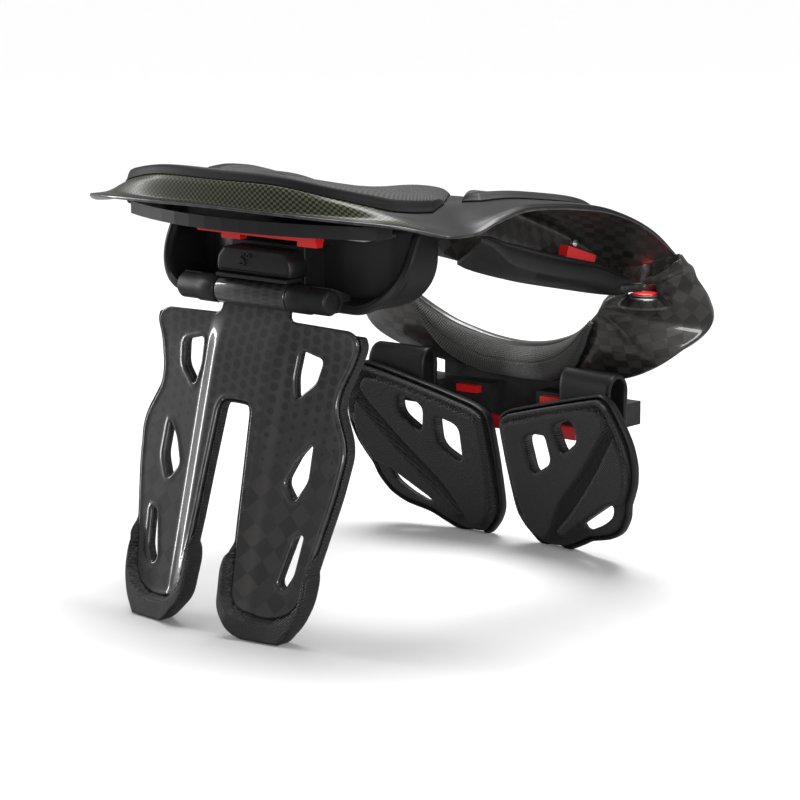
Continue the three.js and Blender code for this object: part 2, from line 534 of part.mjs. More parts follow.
// Mounting plate under the table, with two bosses up to it, and the steel strip and lock bar below.
function mountPlate() {
  const rim = steps(-1, 1, 14).map((t) => [plate.half * t, plate.rearY + plate.bow * t * t]);
  const outline = [...rim, [plate.half, 8], [plate.half * 0.62, plate.frontY], [-plate.half * 0.62, plate.frontY],
    [-plate.half, 8]];
  const boss = rear.place(2, 3.6);
  const bosses = [1, -1].map((side) => post(side * boss.x, boss.y, plate.top - 1, boss.z, 8, 20));
  return joined([prismZ(outline, plate.top - plate.thick, plate.top), ...bosses]).subtract(rearBelow);
}
const rearBelow = rearSkin(8, wall.carbon + fit);
const stripTop = plate.top - plate.thick - fit;
const springPlate = () => box(-steel.half, steel.half, steel.rearY, steel.frontY, stripTop - steel.thick, stripTop);
function bracketLock() {
  const top = stripTop - steel.thick - fit;
  const ends = lockBar.rearY + lockBar.depth;
  const bar = box(-lockBar.half, lockBar.half, lockBar.rearY, ends, top - lockBar.height, top);
  const tabs = [[-0.62, -0.3], [0.66, 0.98]].map(([from, to]) => {
    return box(from * lockBar.half, to * lockBar.half, lockBar.rearY + 2, ends, top - 2 * lockBar.height + 1, top - 1);
  });
  return joined([bar, ...tabs]);
}

// Length adjuster in each side channel: a black rail with a red lock and a steel ball.
function onSizeRail(geometry) {
  const radians = THREE.MathUtils.degToRad;
  return solid(geometry.rotateX(-radians(sizeRail.slope)).rotateZ(-radians(sizeRail.turn))
    .translate(sizeRail.x, sizeRail.y, sizeRail.z));
}
const sizeTop = sizeRail.height / 2;
const sizeBlock = (x, y, z0, z1) => onSizeRail(boxGeometry(-x / 2, x / 2, -y / 2, y / 2, z0, z1));
const sizeRailBody = () => sizeBlock(sizeRail.width, sizeRail.length, -sizeTop, sizeTop);
const sizeLockBody = () => sizeBlock(sizeLock.width, sizeLock.length, sizeTop + fit, sizeTop + fit + sizeLock.height);
function sizeBall() {
  const z = sizeTop + sizeLock.height + sizeLock.ball + 2 * fit;
  return onSizeRail(new THREE.SphereGeometry(sizeLock.ball, 8, 6).translate(0, -sizeLock.length * 0.2, z));
}

// Rail on the front shell, with the sliders that hold the paddles and the red locks.
const railFace = front.place(0, 1).y + bandRim + rail.gap;
const frontRail = () => box(-rail.half, rail.half, railFace, railFace + rail.thick, rail.bottom, rail.top);
const sliderBack = railFace - fit;
const sliderFace = sliderBack - slider.thick - fit;
const strapFace = sliderBack - slider.outerThick - fit;
function sliderBlock() {
  const { inner, middle, outer, bottom, outerBottom, top } = slider;
  return joined([
    box(inner, middle + 1, sliderBack - slider.thick, sliderBack, bottom, top),
    box(middle, outer, sliderBack - slider.outerThick, sliderBack, outerBottom, top),
  ]);
}
function railBar() {
  const low = slider.bottom - redBar.height + 5;
  return box(redBar.inner, redBar.outer, sliderFace - redBar.thick, sliderFace, low, low + redBar.height);
}
function railLock() {
  const z = slider.top - 2;
  const [x0, x1] = [redTab.x - redTab.half, redTab.x + redTab.half];
  return box(x0, x1, sliderFace - redTab.thick, sliderFace, z - redTab.height, z);
}

// Paddles: their plates lean out towards the feet and are dished around the chest.
const paddleFace = (offset) => (x, z) => {
  return paddle.y + paddle.lean * (paddle.z - z) + paddle.dish * (1 - (x / paddle.x) ** 2) + offset;
};
const paddleXs = steps(0, 128, 8);
const paddleZs = [-212, -150, -84];
const paddleLoop = rounded(paddleOutline.map(flat), paddleOutline.length * 1.5, 0.4);
function paddleSheet(inset, grow, rearFace, frontFace) {
  const outline = prismY(grown(paddleLoop, -inset), 150, 320);
  const sheet = slab(paddleXs, paddleZs, rearFace, frontFace).intersect(outline);
  return cut(sheet, [floorBelow, ...windowPrisms(paddleWindows, grow, 150, 320)]);
}

// Carrier: the plastic plate behind a paddle's foam and the sprung strap that bends over to its slider.
function paddleCarrier() {
  const sheet = paddleSheet(0, 1.5, paddleFace(0), paddleFace(wall.carrier));
  const start = paddle.z - 10;
  const root = paddleFace(0.5);
  const route = (x, inset) => {
    const [near, far] = [root(x, start) + inset, strapFace - inset];
    const arch = steps(0, Math.PI, 9).map((angle) => {
      return [lerp(near, far, (1 - Math.cos(angle)) / 2), paddle.z + (strap.rise - inset) * Math.sin(angle)];
    });
    return [[near, start], ...arch, [far, paddle.z - strap.drop]].map(([y, z]) => new THREE.Vector3(x, y, z));
  };
  const grid = (inset) => steps(strap.inner, strap.outer, 4).map((x) => route(x, inset));
  return sheet.add(between(grid(0), grid(strap.thick)));
}
const paddlePad = () => paddleSheet(paddle.border, 0, paddleFace(-fit - foam.paddle), paddleFace(-fit));

const brace = new THREE.Group();
function add(name, body, look) {
  const data = body.getMesh();
  const geometry = new THREE.BufferGeometry();
  const positions = [];
  for (let k = 0; k < data.vertProperties.length; k += data.numProp) {
    positions.push(...data.vertProperties.slice(k, k + 3));
  }
  geometry.setAttribute('position', new THREE.Float32BufferAttribute(positions, 3));
  geometry.setIndex([...data.triVerts]);
  geometry.computeVertexNormals();
  const mesh = new THREE.Mesh(geometry, new THREE.MeshStandardMaterial(finish[look]));
  mesh.name = name;
  brace.add(mesh);
}
function addPair(name, body, look) {
  add(`${name}_right`, body, look);
  add(`${name}_left`, mirrored(body), look);
}

add('rear_shell', rearShell(), 'carbon');
add('rear_pad', rearSkinPad(-4.55, 4.55, rearPadRim, 5.5, foam.rear), 'mesh');
add('mount_plate', mountPlate(), 'plastic');
add('spring_plate', springPlate(), 'steel');
add('bracket_lock', bracketLock(), 'red');
add('strut_bracket', strutBracket(), 'plastic');
add('angle_key', angleKey(), 'plastic');
add('strut_pin', strutPin(), 'steel');
add('strut_plate', strutPlate(), 'carbon');
add('strut_pad', strutPad(), 'foam');
add('shoulder_arm_right', latchArm(), 'plastic');
add('shoulder_arm_left', hingeArm(), 'plastic');
add('front_shell', frontShell(), 'carbon');
add('front_pad', frontPad(), 'mesh');
add('latch_housing', latchHousing(), 'plastic');
add('release_button', releaseButton(), 'red');
add('hinge_housing', hingeHousing(), 'plastic');
add('hinge_pin', hingePin(), 'steel');
add('front_rail', frontRail(), 'plastic');
const [sideFirst, sideLast] = [sidePadRim[0][0], sidePadRim.at(-1)[0]];
add('side_pad_right', rearSkinPad(sideFirst, sideLast, sidePadRim, 5.4, foam.side), 'mesh');
add('side_pad_left', rearSkinPad(-sideLast, -sideFirst, sidePadRim, 5.4, foam.side), 'mesh');
addPair('size_rail', sizeRailBody(), 'plastic');
addPair('size_lock', sizeLockBody(), 'red');
addPair('size_ball', sizeBall(), 'steel');
addPair('slider', sliderBlock(), 'plastic');
addPair('rail_bar', railBar(), 'red');
addPair('rail_lock', railLock(), 'red');
addPair('paddle_carrier', paddleCarrier(), 'plastic');
addPair('paddle_pad', paddlePad(), 'foam');

// Stand the brace on the floor, centred over its own outline.
const bounds = new THREE.Box3().setFromObject(brace);
brace.position.set(0, -(bounds.min.y + bounds.max.y) / 2, stand);

export default brace;
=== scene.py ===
"""Motocross neck brace: a carbon ring with neck pads, a forked back strut and two chest paddles.

Lengths in the tables are hundredths of the ring's half width, reach and rise, as the solids have them.
Everything is worked out in millimetres from the axis of the strut hinge and placed in metres."""
import math

import bpy
import numpy as np
from mathutils import Matrix, Vector
from mathutils.geometry import delaunay_2d_cdt


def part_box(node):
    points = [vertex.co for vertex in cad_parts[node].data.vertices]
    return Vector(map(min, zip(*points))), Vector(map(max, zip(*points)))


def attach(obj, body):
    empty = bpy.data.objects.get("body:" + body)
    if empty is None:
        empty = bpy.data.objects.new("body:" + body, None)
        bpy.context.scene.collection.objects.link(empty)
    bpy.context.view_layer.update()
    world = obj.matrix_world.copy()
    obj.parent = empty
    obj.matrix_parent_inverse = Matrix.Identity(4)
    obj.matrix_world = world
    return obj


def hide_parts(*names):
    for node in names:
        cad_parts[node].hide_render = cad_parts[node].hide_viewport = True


bl_info = {
    "name": "Neck brace",
    "version": (1, 0, 0),
    "blender": (4, 5, 0),
    "location": "View3D > Sidebar > Neck brace",
    "description": "Builds the shells, pads, strut, paddles and locks of a motocross neck brace",
    "category": "Object",
}

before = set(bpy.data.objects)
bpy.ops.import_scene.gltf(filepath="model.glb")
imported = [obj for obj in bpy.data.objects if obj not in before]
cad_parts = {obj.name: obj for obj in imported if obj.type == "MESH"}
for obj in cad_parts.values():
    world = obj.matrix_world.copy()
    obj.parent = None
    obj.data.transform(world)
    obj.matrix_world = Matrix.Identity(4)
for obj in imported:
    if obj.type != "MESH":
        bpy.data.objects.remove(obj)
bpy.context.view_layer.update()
# Middle of the strut hinge in metres.
AXIS = np.array([(low + high) / 2 for low, high in zip(*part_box("strut_pin"))])
# Half width, reach and rise of the ring, and the floor below the hinge, in millimetres.
RING = np.array([156.0, 240.0, 80.0])
FLOOR = -AXIS[2] * 1000
FLOOR_GAP = 0.15

# Tables: sections of the shells and outlines of the flat pieces, as shares of RING.
REAR = [
    [[0, -19.2, 75], [0, -17.5, 76.9], [0, -17.1, 91.2], [0, -14.2, 93], [0, 0.8, 85], [0, 15.8, 72.5],
     [0, 17.1, 57.5], [0, 15.8, 40]],
    [[32.1, -17.5, 73.5], [32.1, -15.8, 75.4], [31.4, -15.4, 90], [30.1, -12.5, 92.5], [26.3, 1.7, 84.5],
     [18.6, 17.1, 72.8], [19.2, 18.3, 57.5], [17.9, 17.5, 38.8]],
    [[62.8, -12.9, 71], [59.6, -10.8, 72.6], [56.4, -10, 82.5], [51.3, -6.7, 86.2], [43.6, 8.3, 80.5],
     [33.3, 23.3, 73], [34, 24.2, 55], [32.7, 23.8, 36.2]],
    [[83.3, -6.7, 68], [78.2, -4.2, 69.6], [73.7, -2.1, 73.8], [66, 3.3, 80], [55.1, 15.8, 78.1],
     [41.7, 30.4, 75], [42.9, 30.8, 52.5], [41.7, 30.8, 32.5]],
    [[94.2, 2.5, 60.6], [90.4, 4.2, 63.1], [84.6, 6.7, 67.5], [71.8, 14.2, 76.2], [59.6, 25, 75],
     [46.2, 37.9, 72.5], [48.1, 38.3, 48.8], [46.2, 37.9, 26.2]],
    [[96.2, 12.5, 59.4], [93.6, 13.8, 61.9], [87.2, 15.8, 66.2], [73.1, 22.9, 73.8], [61.5, 32.5, 72.5],
     [48.7, 44.6, 70], [50.6, 45, 43.8], [48.7, 44.6, 20]],
    [[97.1, 21.7, 66.2], [95.2, 22.5, 68.8], [90.4, 24.2, 71.2], [76.3, 30.8, 75], [63.5, 39.6, 71.2],
     [50.6, 50.4, 66.2], [52.6, 50.8, 38.8], [50.6, 50.4, 13.8]],
    [[97.4, 32.5, 71.2], [96.2, 32.9, 73.1], [92.9, 34.2, 75], [79.5, 40.4, 75], [66, 47.9, 68.8],
     [51.9, 57.5, 61.3], [53.8, 57.9, 32.5], [52.6, 57.5, 7.5]],
    [[97.4, 45, 69.4], [96.5, 45.4, 71.2], [94.2, 46.7, 72.5], [84.6, 51.7, 71.2], [68.6, 57.5, 63.7],
     [53.8, 65.4, 53.8], [55.8, 65.8, 25], [55.1, 65.4, 1.2]],
    [[97.4, 55.4, 65.6], [96.8, 55.8, 67.5], [95.5, 56.7, 68.8], [89.7, 59.6, 67.5], [71.8, 65.8, 57.5],
     [55.8, 72.9, 45], [58.3, 73.3, 17.5], [57.7, 72.9, -3.8]],
    [[98.1, 66.7, 60], [97.8, 67.1, 61.3], [97.1, 67.5, 62.5], [93.6, 69.2, 60.6], [75, 75, 48.8],
     [58.3, 80.8, 35], [60.3, 81.2, 11.2], [60.3, 80.8, -8.8]],
    [[99.4, 78.3, 48.8], [99.4, 78.8, 49.6], [98.7, 79.2, 50], [95.5, 80.8, 48.1], [77.6, 85.4, 36.2],
     [60.9, 88.8, 22.5], [62.8, 89.2, 3.8], [62.8, 88.8, -13.8]],
    [[100, 87.9, 34.4], [100, 88.3, 35], [99.4, 88.8, 35], [96.2, 90.4, 33.1], [79.5, 92.9, 21.2],
     [62.8, 95.4, 10.6], [64.7, 95.8, -3.8], [64.7, 95.4, -17.5]],
    [[100, 96.7, 16.2], [100, 96.9, 16.6], [99.4, 97.1, 16.6], [96.2, 98.3, 15], [80.8, 100, 6.2],
     [65.4, 101.2, -1.2], [66.7, 101.5, -10], [66.7, 101.2, -20]],
]
FRONT = [
    [[63.8, 101.6, -24], [99.2, 99.6, 11.2]],
    [[61.5, 101.7, -28], [100.6, 105.8, -10]],
    [[57.7, 101.5, -33.8], [100.6, 112.5, -30]],
    [[53.8, 102.5, -40.6], [98.7, 115.4, -50]],
    [[50, 103.3, -47.5], [89.7, 110, -70]],
    [[42.3, 105.4, -58.8], [78.8, 107.9, -86.2]],
    [[32.1, 107.5, -70], [62.2, 109.6, -100]],
    [[20.5, 109.6, -77.5], [41, 111.7, -108.7]],
    [[10.3, 110.8, -81.2], [20.5, 112.9, -112.5]],
    [[0, 111.2, -82.5], [0, 113.3, -113.8]],
]
# Shoulder arm: section of the rear shell, lip [x, y, z] and height of the lip.
ARM = [
    (4.9, [95.5, 15.4, 56.2], 5), (5.5, [92.3, 22.9, 52.5], 8.8), (6.3, [88.8, 31, 45.6], 13.5),
    (7, [85.3, 38.8, 40.6], 17), (8, [81.4, 51.7, 31.2], 18), (9, [78.5, 63.3, 23], 17.5),
    (10, [76.6, 74.2, 15.6], 16.2), (11, [75.3, 84.2, 8.8], 16.2), (12, [75, 92.5, 0], 15),
    (12.75, [76, 97, -6], 12.5),
]
# Rims of the pads: section, and the column or share of the shell where the pad starts.
REAR_RIM = [[0, 2.62], [1, 2.6], [2, 2.4], [3, 2.3], [4, 2.55], [4.55, 3.1]]
SIDE_RIM = [[5.35, 3.4], [6, 3.0], [7, 2.95], [8, 2.95], [9, 3.0], [9.9, 3.2]]
FRONT_RIM = [[4.3, 0.06], [5, 0.14], [6, 0.34], [7, 0.66], [8, 0.97], [9, 1]]
PADDLE = [[3.2, -145], [9, -135], [19, -129], [38, -119], [61, -107.5], [66.7, -106], [72, -113],
          [76.3, -129], [79.5, -147], [80.1, -165], [78.2, -182], [75, -195], [72.4, -204], [70.5, -216],
          [65.4, -230], [57.7, -239], [46, -245], [38.5, -252], [29, -259.5], [17, -259.5], [9, -246],
          [4.5, -230], [3.2, -206], [2.6, -175]]
PADDLE_HOLES = [[[18.6, -156], [30.8, -149], [32, -176], [19.9, -190]],
                [[36.5, -141], [48.7, -132], [50.6, -150], [39.7, -166]],
                [[62.8, -205], [54, -216], [42.3, -231], [46, -234], [55, -226], [61.5, -216]]]
PADDLE_PANEL = [[7, -150], [19, -140], [38, -129], [57, -120.5], [64.5, -119.5], [68.6, -127], [67, -140],
                [51, -178], [33.5, -214], [23, -248], [17, -250], [10.5, -236], [7.5, -206]]
PADDLE_CRESCENT = [[72.5, -141], [76.3, -160], [75.6, -181], [70.5, -200], [62, -206], [54, -217],
                   [42.5, -231], [32, -246], [27.5, -240], [38.5, -219], [56.5, -179], [68, -150]]
STRUT = [[0, -5], [18.4, -5], [18.6, -18.5], [49.4, -20], [53.2, -24], [54.5, -32], [48, -66],
         [47.4, -80], [53.8, -104], [55, -115], [53.2, -145], [50, -175], [46.8, -206], [45.5, -222],
         [42, -234], [34, -241], [25, -241], [17.3, -236], [13.5, -226], [12.8, -205], [11.5, -175],
         [10.3, -134], [8.7, -88], [7, -82], [0, -81]]
STRUT_HOLES = [[[26.3, -38.5], [37.8, -44], [36, -62], [27.6, -76.5], [25.6, -60]],
               [[39.1, -106], [33.3, -119], [28.8, -139], [34.6, -152], [39.5, -135]],
               [[41.7, -175], [38, -177], [33.3, -214], [36.5, -218], [40, -206]]]
STRUT_FOOT = [[9.6, -196], [8.4, -206], [9.6, -236], [17, -252], [27, -262], [38, -262], [45.5, -244],
              [49, -226], [49.5, -206], [46, -190], [13, -190]]

# Profiles turned about the latch, radius and height over its top in millimetres. The hinge mirrors the latch.
LATCH = (120.0, 249.0, -18.0)
POST = [(9, -11), (10.6, -10.6), (11, -9.6)]
LATCH_POST = [*POST, (11, -1.2), (10.7, -0.4), (10, 0), (9.4, -0.2), (9, -0.9), (9, -5.3), (1, -5.3)]
HINGE_POST = [*POST, (11, 1.6), (10.6, 2.4), (9.6, 2.7)]
BUTTON = [(7.8, -2.4), (8.5, -1.9), (8.6, -0.2), (8.2, 0.6), (7.2, 1.1), (4, 1.4), (0.6, 1.5)]
HINGE_SCREW = [(3.6, 3), (4, 3.3), (4, 9.3), (6.6, 9.3), (7, 9.8), (6.9, 10.8), (6, 11.6), (1.6, 11.8),
               (1.5, 10.8), (0.3, 10.8)]
COLLAR = [(11.5, -7), (11.5, -1.9), (12.3, -1.3), (13.6, -1.7), (16, -3.6), (18.6, -6.6), (18, -8.4),
          (11.5, -7)]
EYE = [(4.2, 4), (4.2, 8.2), (5, 9), (12.5, 9), (13.5, 8), (13.5, 4), (12.5, 3), (5, 3), (4.2, 4)]
# Tongue of a shoulder arm round the latch, and its levels: height over the latch and growth.
TONGUE = [[-12, -26], [-1, -24], [3, -14], [8, -4], [-8, -2], [-12.5, -12]]
TONGUE_LEVELS = [(3.2, -0.8), (3.6, -0.3), (4.4, 0), (7.6, 0), (8.6, -0.5), (9, -1.4)]
# Profiles turned about the strut hinge, place along it and radius.
SLEEVE = [(-29.5, 3.7), (-29.5, 7.6), (-29.2, 8.3), (-28.4, 8.7), (28.4, 8.7), (29.2, 8.3),
          (29.5, 7.6), (29.5, 3.7)]
HINGE_ROD = [(-62, 2.4), (-61.6, 3.2), (-60.8, 3.5), (60.8, 3.5), (61.6, 3.2), (62, 2.4)]
KNUCKLE = [(30.5, 3.75), (30.5, 8.1), (31, 8.8), (31.8, 9), (46, 9), (46.6, 8.3), (61, 8.3), (62, 7.6),
           (62.5, 6.2), (62.7, 0.4), (62.3, 0.4), (62.2, 3.75), (30.5, 3.75)]
KNUCKLE_ENDS = (30.5, 62)
WEB = [[0, -7], [0, 9], [9, 6], [17, 3], [18, -1.2], [18, -7]]
# Angle key: outline from behind, and its levels: depth and growth.
KEY = [[-34, 13], [-30, 12], [0, 12], [30, 12], [34, 13], [35, 17], [33.5, 23], [28, 28.4], [20, 29],
       [-20, 29], [-28, 28.4], [-33.5, 23], [-35, 17]]
KEY_LEVELS = [(10, -0.8), (9, 0), (-3.5, 0), (-4.8, -0.5), (-5.6, -1.4), (-5.9, -2.6)]
TRAY = {"half": 103.0, "top": 42.2, "bottom": -7.0, "wall": 6.0, "corner": 34.0}
# Paddle straps: sides, lower ends, height of the bend, and the face of the sliders that they lie on.
STRAP_SIDES = (61, 104)
STRAP_ENDS = (-96.0, -114.0)
STRAP_BEND = (-86, 13)
STRAP_GAP = 0.33
SLIDER_FACE = 277.64 - 25 - 0.3


# Curves and surfaces.
def mm(length):
    """Millimetres from a setting in metres."""
    return length * 1000


def shares(rows):
    """Millimetres from shares of RING: [x, y, z] or [x, z]."""
    a = np.asarray(rows, float)
    return a * (RING if a.shape[-1] == 3 else RING[[0, 2]]) / 100


def smoothstep(value, low, high):
    t = np.clip((value - low) / (high - low), 0, 1)
    return t * t * (3 - 2 * t)


def catmull(a, b, c, d, f):
    """Catmull-Rom reading between b and c."""
    return 0.5 * (2 * b + (c - a) * f + (2 * a - 5 * b + 4 * c - d) * f**2 + (3 * b - a - 3 * c + d) * f**3)


def spline(rows, place):
    """Smooth reading of rows at each place."""
    rows = np.concatenate([[2 * rows[0] - rows[1]], rows, [2 * rows[-1] - rows[-2]]])
    i = np.clip(np.floor(place).astype(int), 0, len(rows) - 4)
    f = (place - i).reshape((-1,) + (1,) * (rows.ndim - 1))
    return catmull(*(rows[i + k] for k in range(4)), f)


class Surface:
    """A surface over a mirrored table of sections; section 0 is the middle of the body."""

    def __init__(self, table, middle_first):
        half = shares(table)
        half = half if middle_first else half[::-1]
        self.last = len(half) - 1
        self.rows = np.concatenate([half[:0:-1] * [-1, 1, 1], half])

    def __call__(self, section, column):
        section, column = np.broadcast_arrays(section, column)
        across = spline(self.rows, section.ravel() + self.last)
        before, after = 2 * across[:, :1] - across[:, 1:2], 2 * across[:, -1:] - across[:, -2:-1]
        across = np.concatenate([before, across, after], 1)
        place = column.ravel()
        i = np.clip(np.floor(place).astype(int), 0, across.shape[1] - 4)
        k = np.arange(len(place))
        p = catmull(*(across[k, i + n] for n in range(4)), (place - i)[:, None])
        return p.reshape(section.shape + (3,))

    def normal(self, section, column, edge=0.06, step=0.03):
        column = np.clip(column, edge, self.rows.shape[1] - 1 - edge)
        s = self(section + step, column) - self(section - step, column)
        c = self(section, column + step) - self(section, column - step)
        n = np.cross(s, c)
        return n / np.linalg.norm(n, axis=-1, keepdims=True)


rear = Surface(REAR, True)
front = Surface(FRONT, False)
REAR_END = len(REAR[0]) - 1


def reading(pairs, place):
    """Straight reading of (place, value) pairs."""
    pairs = np.asarray(pairs, float)
    return np.interp(place, pairs[:, 0], pairs[:, 1])


def closed(corners, tension, samples=10):
    """Smooth closed loop through corners, with the solids' own tension."""
    p = np.asarray(corners, float)
    p0, p1, p2, p3 = np.roll(p, 1, 0), p, np.roll(p, -1, 0), np.roll(p, -2, 0)
    t0, t1 = tension * (p2 - p0), tension * (p3 - p1)
    f = np.linspace(0, 1, samples, endpoint=False)[None, :, None]
    q = [v[:, None, :] for v in (p1, t0, -3 * p1 + 3 * p2 - 2 * t0 - t1, 2 * p1 - 2 * p2 + t0 + t1)]
    return (q[0] + q[1] * f + q[2] * f**2 + q[3] * f**3).reshape(-1, 2)


def cornered(corners, radius, samples=7):
    """Closed loop of straight stretches with rounded corners."""
    p = np.asarray(corners, float)
    out = []
    for a, b, c in zip(np.roll(p, 1, 0), p, np.roll(p, -1, 0)):
        back, on = a - b, c - b
        reach = min(radius, 0.45 * np.linalg.norm(back), 0.45 * np.linalg.norm(on))
        a, c = b + back / np.linalg.norm(back) * reach, b + on / np.linalg.norm(on) * reach
        t = np.linspace(0, 1, samples)[:, None]
        out.append((1 - t)**2 * a + 2 * t * (1 - t) * b + t**2 * c)
    return np.concatenate(out)


def lengths(points):
    """Length of the way to each point along a line of points."""
    return np.concatenate([[0], np.cumsum(np.linalg.norm(np.diff(points, axis=0), axis=1))])


def even(loop, step):
    """The closed loop with points at an even step."""
    ends = np.concatenate([loop, loop[:1]])
    run = lengths(ends)
    at = np.linspace(0, run[-1], max(int(run[-1] / step), 8), endpoint=False)
    return np.stack([np.interp(at, run, ends[:, k]) for k in range(2)], 1)


def grown(loop, distance):
    """The closed loop moved outwards by a distance."""
    nxt, prv = np.roll(loop, -1, 0), np.roll(loop, 1, 0)
    area = np.sum(loop[:, 0] * nxt[:, 1] - loop[:, 1] * nxt[:, 0])
    t = (nxt - prv) / np.linalg.norm(nxt - prv, axis=1, keepdims=True)
    return loop + distance * np.sign(area) * np.stack([t[:, 1], -t[:, 0]], 1)


def both(loop):
    """The other half's loop."""
    return loop * [-1, 1]


def above_floor(loop):
    return np.stack([loop[:, 0], np.maximum(loop[:, 1], FLOOR + FLOOR_GAP)], 1)


def chunks(points, work):
    """Work on long lists of points in parts, to save memory."""
    return np.concatenate([work(points[k:k + 1500]) for k in range(0, len(points), 1500)])


def distance_to(points, a, b):
    """Distance from each point to the nearest of the segments a-b."""
    ab = b - a
    length = np.maximum((ab**2).sum(1), 1e-9)

    def work(p):
        t = np.clip(((p[:, None] - a) * ab).sum(2) / length, 0, 1)
        return np.sqrt((((a + t[..., None] * ab) - p[:, None])**2).sum(2).min(1))
    return chunks(points, work)


def inside(points, loop):
    """Which points lie in a closed loop."""
    x0, z0 = loop.T
    x1, z1 = np.roll(loop, -1, 0).T

    def work(p):
        x, z = p[:, :1], p[:, 1:]
        crosses = (z0 > z) != (z1 > z)
        with np.errstate(divide="ignore", invalid="ignore"):
            return (crosses & (x < (x1 - x0) * (z - z0) / (z1 - z0) + x0)).sum(1) % 2 == 1
    return chunks(points, work)


def depth_in(points, loop):
    """Distance inside a loop, negative outside it."""
    d = distance_to(points, loop, np.roll(loop, -1, 0))
    return np.where(inside(points, loop), d, -d)


def within(points, outers, holes):
    """Which points lie in a union of loops, less the holes."""
    keep = np.any([inside(points, loop) for loop in outers], 0)
    for hole in holes:
        keep &= ~inside(points, hole)
    return keep


# Meshes.
def place(points):
    """Row frame in metres from millimetres."""
    return np.asarray(points, float) / 1000 + AXIS


def mesh_object(name, points, faces, materials, uv, index=None):
    """Object from points in millimetres; uv is one pair for each point, in millimetres too."""
    mesh = bpy.data.meshes.new(name)
    mesh.from_pydata(place(points).tolist(), [], [list(map(int, f)) for f in faces])
    for material in materials:
        mesh.materials.append(material)
    if index is not None:
        mesh.polygons.foreach_set("material_index", np.asarray(index, np.int32))
    layer = mesh.uv_layers.new(name="lay")
    corner = np.empty(len(mesh.loops), np.int32)
    mesh.loops.foreach_get("vertex_index", corner)
    layer.data.foreach_set("uv", (np.asarray(uv, float) / 1000)[corner].ravel())
    mesh.validate()
    mesh.shade_smooth()
    obj = bpy.data.objects.new(name, mesh)
    bpy.context.scene.collection.objects.link(obj)
    return obj


def active(obj):
    bpy.ops.object.select_all(action="DESELECT")
    obj.select_set(True)
    bpy.context.view_layer.objects.active = obj


def outwards(obj):
    """Turns the faces of a closed mesh outwards."""
    active(obj)
    bpy.ops.object.mode_set(mode="EDIT")
    bpy.ops.mesh.select_all(action="SELECT")
    bpy.ops.mesh.normals_make_consistent(inside=False)
    bpy.ops.object.mode_set(mode="OBJECT")
    return obj


def by_angle(obj, degrees=35):
    active(obj)
    bpy.ops.object.shade_smooth_by_angle(angle=math.radians(degrees))
    return obj


def bevel(obj, width, degrees=35):
    tool = obj.modifiers.new("edges", "BEVEL")
    tool.width = width
    tool.segments = 3
    tool.limit_method = "ANGLE"
    tool.angle_limit = math.radians(degrees)
    tool.harden_normals = True


def lay_out(grid):
    """Arc lengths along both ways of a grid, as pairs in millimetres."""
    v = np.concatenate([np.zeros((grid.shape[0], 1)),
                        np.cumsum(np.linalg.norm(np.diff(grid, axis=1), axis=2), 1)], 1)
    middle = grid[:, grid.shape[1] // 2]
    u = lengths(middle)
    v = v - v[:, v.shape[1] // 2][:, None]
    return np.stack([np.broadcast_to(u[:, None], v.shape) - u[-1] / 2, v], 2)


def sheet(name, outer, inner, materials, kind=None, edge=0.35):
    """Closed sheet between two grids, its rim rounded. kind(r, c) gives the material of an outer face."""
    n, m = outer.shape[:2]
    uv = lay_out(outer).reshape(-1, 2)
    points, pairs = [outer.reshape(-1, 3), inner.reshape(-1, 3)], [uv] * 2

    def at(side, r, c):
        return side * n * m + r * m + c
    r, c = np.meshgrid(np.arange(n - 1), np.arange(m - 1), indexing="ij")
    r, c = r.ravel(), c.ravel()
    top = np.stack([at(0, r, c), at(0, r + 1, c), at(0, r + 1, c + 1), at(0, r, c + 1)], 1)
    low = np.stack([at(1, r, c), at(1, r, c + 1), at(1, r + 1, c + 1), at(1, r + 1, c)], 1)
    index = [np.zeros(len(top), int) if kind is None else kind(r, c), np.full(len(low), len(materials) - 1)]
    loop = [(k, 0) for k in range(n)] + [(n - 1, k) for k in range(1, m)]
    loop += [(k, m - 1) for k in range(n - 2, -1, -1)] + [(0, k) for k in range(m - 2, 0, -1)]
    ids = np.array([a * m + b for a, b in loop])
    inward = np.array([min(max(a, 1), n - 2) * m + min(max(b, 1), m - 2) for a, b in loop])
    o, i = points[0][ids], points[1][ids]
    out = (o + i) / 2 - (points[0][inward] + points[1][inward]) / 2
    out /= np.maximum(np.linalg.norm(out, axis=1, keepdims=True), 1e-6)
    thick = np.linalg.norm(o - i, axis=1, keepdims=True)
    start = 2 * n * m
    strips = [ids]
    for angle in (math.pi / 4, math.pi / 2, 3 * math.pi / 4):
        points.append((o + i) / 2 + (o - i) / 2 * math.cos(angle) + out * thick * edge * math.sin(angle))
        pairs.append(uv[ids])
        strips.append(start + np.arange(len(ids)))
        start += len(ids)
    strips.append(ids + n * m)
    border = [np.stack([np.roll(a, -1), a, b, np.roll(b, -1)], 1) for a, b in zip(strips, strips[1:])]
    index.append(np.full(sum(map(len, border)), len(materials) - 1))
    faces = np.concatenate([top, low, *border])
    points, pairs, index = (np.concatenate(rows) for rows in (points, pairs, index))
    return outwards(mesh_object(name, points, faces, materials, pairs, index))


